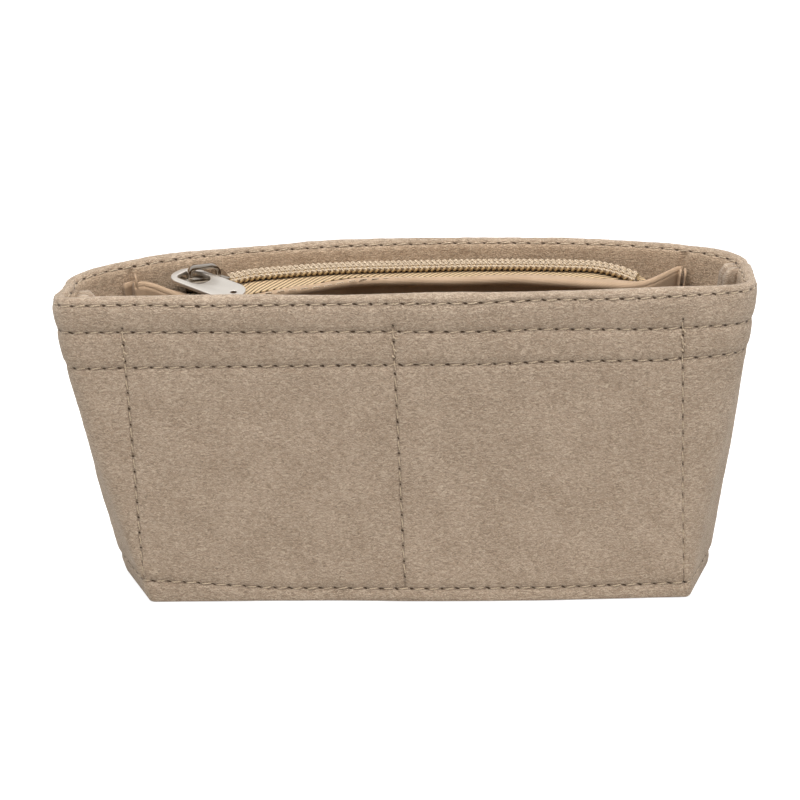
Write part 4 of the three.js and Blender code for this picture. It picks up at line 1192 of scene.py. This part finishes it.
def build_pouch_seams():
    """The line of stitches along the pouch cloth's edge on the tape."""
    start = -50.0

    def place(s, off, lift):
        x = start + s
        y = chain_line_y(x) - shoulder_gap(x) - 0.4 + off
        z = fold_height(x) + 0.46 + lift * 0.4
        return stacked(x, y, z)
    stitch_thread("thread_pouch_edge", place, 53, pitch=2.6, slant=0.1, radius=0.13, first=4)


# Slider and pull, modelled at a thousand times their size and then brought to scale

def select_only(piece):
    bpy.ops.object.select_all(action="DESELECT")
    bpy.context.view_layer.objects.active = piece
    piece.select_set(True)


def start_edit(piece, mode):
    select_only(piece)
    bpy.ops.object.mode_set(mode="EDIT")
    bpy.ops.mesh.select_mode(type=mode)
    bpy.ops.mesh.select_all(action="DESELECT")
    return bmesh.from_edit_mesh(piece.data)


def block(low, high):
    bpy.ops.object.select_all(action="DESELECT")
    size = [b - a for a, b in zip(low, high)]
    centre = [(a + b) / 2 for a, b in zip(low, high)]
    bpy.ops.mesh.primitive_cube_add(size=1, location=centre, scale=size)
    piece = bpy.context.object
    bpy.ops.object.transform_apply(location=True, rotation=True, scale=True)
    return piece


def round_edges(piece, axis, offset, segments, test):
    """Bevels the edges along one axis that the test picks."""
    work = start_edit(piece, "EDGE")
    others = [k for k in range(3) if k != axis]
    for edge in work.edges:
        a, b = (vertex.co for vertex in edge.verts)
        if all(abs(a[k] - b[k]) < 1e-5 for k in others) and test(a):
            edge.select_set(True)
    bmesh.update_edit_mesh(piece.data)
    bpy.ops.mesh.bevel(offset=offset, segments=segments, affect="EDGES")
    bpy.ops.object.mode_set(mode="OBJECT")


def narrow(piece, share, beyond=0.0):
    """Draws the points past one place along the slider in towards its middle."""
    work = start_edit(piece, "VERT")
    for vertex in work.verts:
        vertex.select_set(vertex.co.x > beyond)
    work.select_flush_mode()
    bmesh.update_edit_mesh(piece.data)
    bpy.ops.transform.resize(value=(1, share, 1), center_override=(0, 0, 0))
    bpy.ops.object.mode_set(mode="OBJECT")


def combine(piece, other, operation):
    modifier = piece.modifiers.new("combine", "BOOLEAN")
    modifier.operation = operation
    modifier.solver = "EXACT"
    modifier.object = other
    select_only(piece)
    bpy.ops.object.modifier_apply(modifier=modifier.name)
    bpy.data.objects.remove(other)


def ease_edges(piece, width, segments=2):
    modifier = piece.modifiers.new("ease", "BEVEL")
    modifier.width = width
    modifier.segments = segments
    modifier.limit_method = "ANGLE"
    modifier.angle_limit = math.radians(32)
    select_only(piece)
    bpy.ops.object.modifier_apply(modifier=modifier.name)
    bpy.ops.object.shade_smooth_by_angle(angle=math.radians(38))


def chain_matrix(x):
    """The slider's own frame on the chain, in metres."""
    angle = math.asin((x - CHAIN_X) / CHAIN_RADIUS)
    px = CHAIN_X + CHAIN_RADIUS * math.sin(angle)
    py = CHAIN_Y - CHAIN_RADIUS + CHAIN_RADIUS * math.cos(angle)
    tilt = Matrix.Rotation(-CHAIN_TILT, 4, "Y")
    return (Matrix.Scale(MM, 4) @ Matrix.Translation((0, 0, TAPE_TOP + SLIDER_RISE)) @ tilt
            @ Matrix.Translation((px, py, 0)) @ Matrix.Rotation(-angle, 4, "Z")), angle


def crown_arch():
    """The crown: a narrow arch over the upper blade, its shoulders rounded."""
    arch = block((-3.7, -0.95, 2.7), (3.7, 0.95, 5.5))
    round_edges(arch, 1, 1.9, 6, lambda co: co.z > 5)
    tunnel = block((-2.8, -2, 2.2), (2.8, 2, 4.75))
    round_edges(tunnel, 1, 1.1, 5, lambda co: co.z > 4)
    combine(arch, tunnel, "DIFFERENCE")
    return arch


def blade(low, high):
    """One blade of the slider: its nose well rounded, its tail narrower."""
    piece = block(low, high)
    round_edges(piece, 2, 2.2, 5, lambda co: co.x < 0)
    round_edges(piece, 2, 1.1, 4, lambda co: co.x > 0)
    narrow(piece, 0.84)
    return piece


def build_slider():
    """The casting: two blades joined by a post at the nose, two flanges, and the crown on top. The
    lower blade keeps the solid's height, and the rest stands SLIDER_RISE above it."""
    nose, tail, half, lower_half = -5.2, 5.2, 4.7, 3.9
    upper_foot, upper_top, joint = 2.45, 2.95, 2.6
    lower_foot, lower_top = -1.35 - SLIDER_RISE, -0.7 - SLIDER_RISE
    body = blade((nose, -half, upper_foot), (tail, half, upper_top))
    lower = blade((nose + 0.4, -lower_half, lower_foot), (tail, lower_half, lower_top))
    for side in (-1, 1):
        low, high = sorted((side * half, side * 4.0))
        flange = block((-2.9, low, 1.25), (tail - 1.0, high, joint))
        narrow(flange, 0.86)
        combine(body, flange, "UNION")
    post = block((nose + 0.9, -0.6, lower_foot + 0.25), (nose + 3.9, 0.6, joint))
    narrow(post, 0.15, beyond=nose + 2)
    combine(body, post, "UNION")
    combine(body, lower, "UNION")
    combine(body, crown_arch(), "UNION")
    ease_edges(body, 0.16)
    body.name = "slider_casting"
    matrix, _ = chain_matrix(SLIDER_X)
    body.data.transform(matrix)
    finish_hardware(body)
    finish_piece(body, slider_nickel, "slider", ["slider_body"])


def finish_hardware(piece):
    work = bmesh.new()
    work.from_mesh(piece.data)
    bmesh.ops.remove_doubles(work, verts=work.verts, dist=1e-6)
    bmesh.ops.recalc_face_normals(work, faces=work.faces)
    work.to_mesh(piece.data)
    work.free()


def build_pull():
    """The pull: a flat cast plate with a long eye at one end and a small hole at the other."""
    left, right, near, far = -5.0, 14.2, 0.6, -7.4
    plate = block((left, far, -0.45), (right, near, 0.45))
    round_edges(plate, 2, 3.4, 8, lambda co: co.x < 0)
    round_edges(plate, 2, 3.98, 9, lambda co: co.x > 0)
    window = block((-3.4, -5.8, -1), (4.0, -0.6, 1))
    round_edges(window, 2, 1.5, 6, lambda co: co.x < 0)
    round_edges(window, 2, 2.55, 8, lambda co: co.x > 0)
    combine(plate, window, "DIFFERENCE")
    bpy.ops.object.select_all(action="DESELECT")
    bpy.ops.mesh.primitive_cone_add(vertices=24, radius1=1.4, radius2=0.3, depth=3, location=(12.0, -3.4, 0))
    combine(plate, bpy.context.object, "DIFFERENCE")
    ease_edges(plate, 0.17, 3)
    plate.name = "slider_pull_plate"
    matrix, angle = chain_matrix(SLIDER_X)
    hang = Matrix.Translation((0, 0, CROWN_BAR - SLIDER_RISE))
    swing = Matrix.Rotation(math.radians(-40) + angle, 4, "Z")
    tilt = Matrix.Rotation(math.radians(5), 4, "X") @ Matrix.Rotation(math.radians(6), 4, "Y")
    plate.data.transform(matrix @ hang @ swing @ tilt)
    finish_hardware(plate)
    finish_piece(plate, pull_nickel, "pull", ["slider_pull"])


# Stage

def add_light(name, place, target, size, power):
    data = bpy.data.lights.new(name, "AREA")
    data.shape = "RECTANGLE"
    data.size, data.size_y = size
    data.energy = power
    lamp = bpy.data.objects.new(name, data)
    lamp.location = place
    lamp.rotation_euler = (Vector(target) - Vector(place)).to_track_quat("-Z", "Y").to_euler()
    bpy.context.scene.collection.objects.link(lamp)


def seen_directly(tree):
    """A mask of what the camera sees, also in a mirror or through glass."""
    path = add(tree, "LightPath")
    seen = add(tree, "Math", {0: path.outputs["Is Camera Ray"], 1: path.outputs["Is Glossy Ray"]},
               operation="MAXIMUM")
    return add(tree, "Math", {0: seen, 1: path.outputs["Is Transmission Ray"]}, operation="MAXIMUM")


def build_stage():
    """A white floor that keeps a soft shadow, a white world, and soft light mostly from above."""
    bpy.ops.object.select_all(action="DESELECT")
    bpy.ops.mesh.primitive_plane_add(size=1, location=(0, 0, -0.0002))
    floor = bpy.context.object
    floor.name = "floor"
    floor.scale = (12, 12, 1)
    bpy.ops.object.transform_apply(location=True, rotation=True, scale=True)
    material, tree = new_material("white_paper_floor")
    seen = seen_directly(tree)
    glow = add(tree, "Math", {0: seen, 1: 0.76}, operation="MULTIPLY")
    paper = add(tree, "BsdfDiffuse", {"Color": linear("#C6C5C3")})
    light = add(tree, "Emission", {"Color": (1, 1, 1, 1), "Strength": glow})
    close_material(tree, add(tree, "AddShader", {0: paper, 1: light}))
    floor.data.materials.append(material)

    world = bpy.data.worlds.new("world")
    bpy.context.scene.world = world
    world.use_nodes = True
    tree = world.node_tree
    tree.nodes.clear()
    seen = seen_directly(tree)
    soft = add(tree, "Background", {"Color": (1, 0.99, 0.98, 1), "Strength": 0.37})
    white = add(tree, "Background", {"Color": (1, 1, 1, 1), "Strength": 1.0})
    add(tree, "OutputWorld", {"Surface": add(tree, "MixShader", {0: seen, 1: soft, 2: white})})

    add_light("top_softbox", (0.05, -0.22, 1.08), (0, 0, 0.04), (1.0, 0.8), 13.6)
    add_light("front_left_softbox", (-0.65, -0.8, 1.1), (0, 0, 0.03), (0.8, 0.8), 7.6)
    add_light("right_softbox", (1.2, -0.3, 0.6), (0, 0, 0.03), (0.8, 0.8), 5.2)


build_shell()
build_base()
build_front_pocket()
build_side_allowances()
build_threads()
build_coils()
build_tapes()
build_pouch_front()
build_pouch_rear()
build_pouch_edges()
build_pouch_seams()
build_slider()
build_pull()
build_stage()

scene = bpy.context.scene
scene.view_settings.view_transform = "Standard"
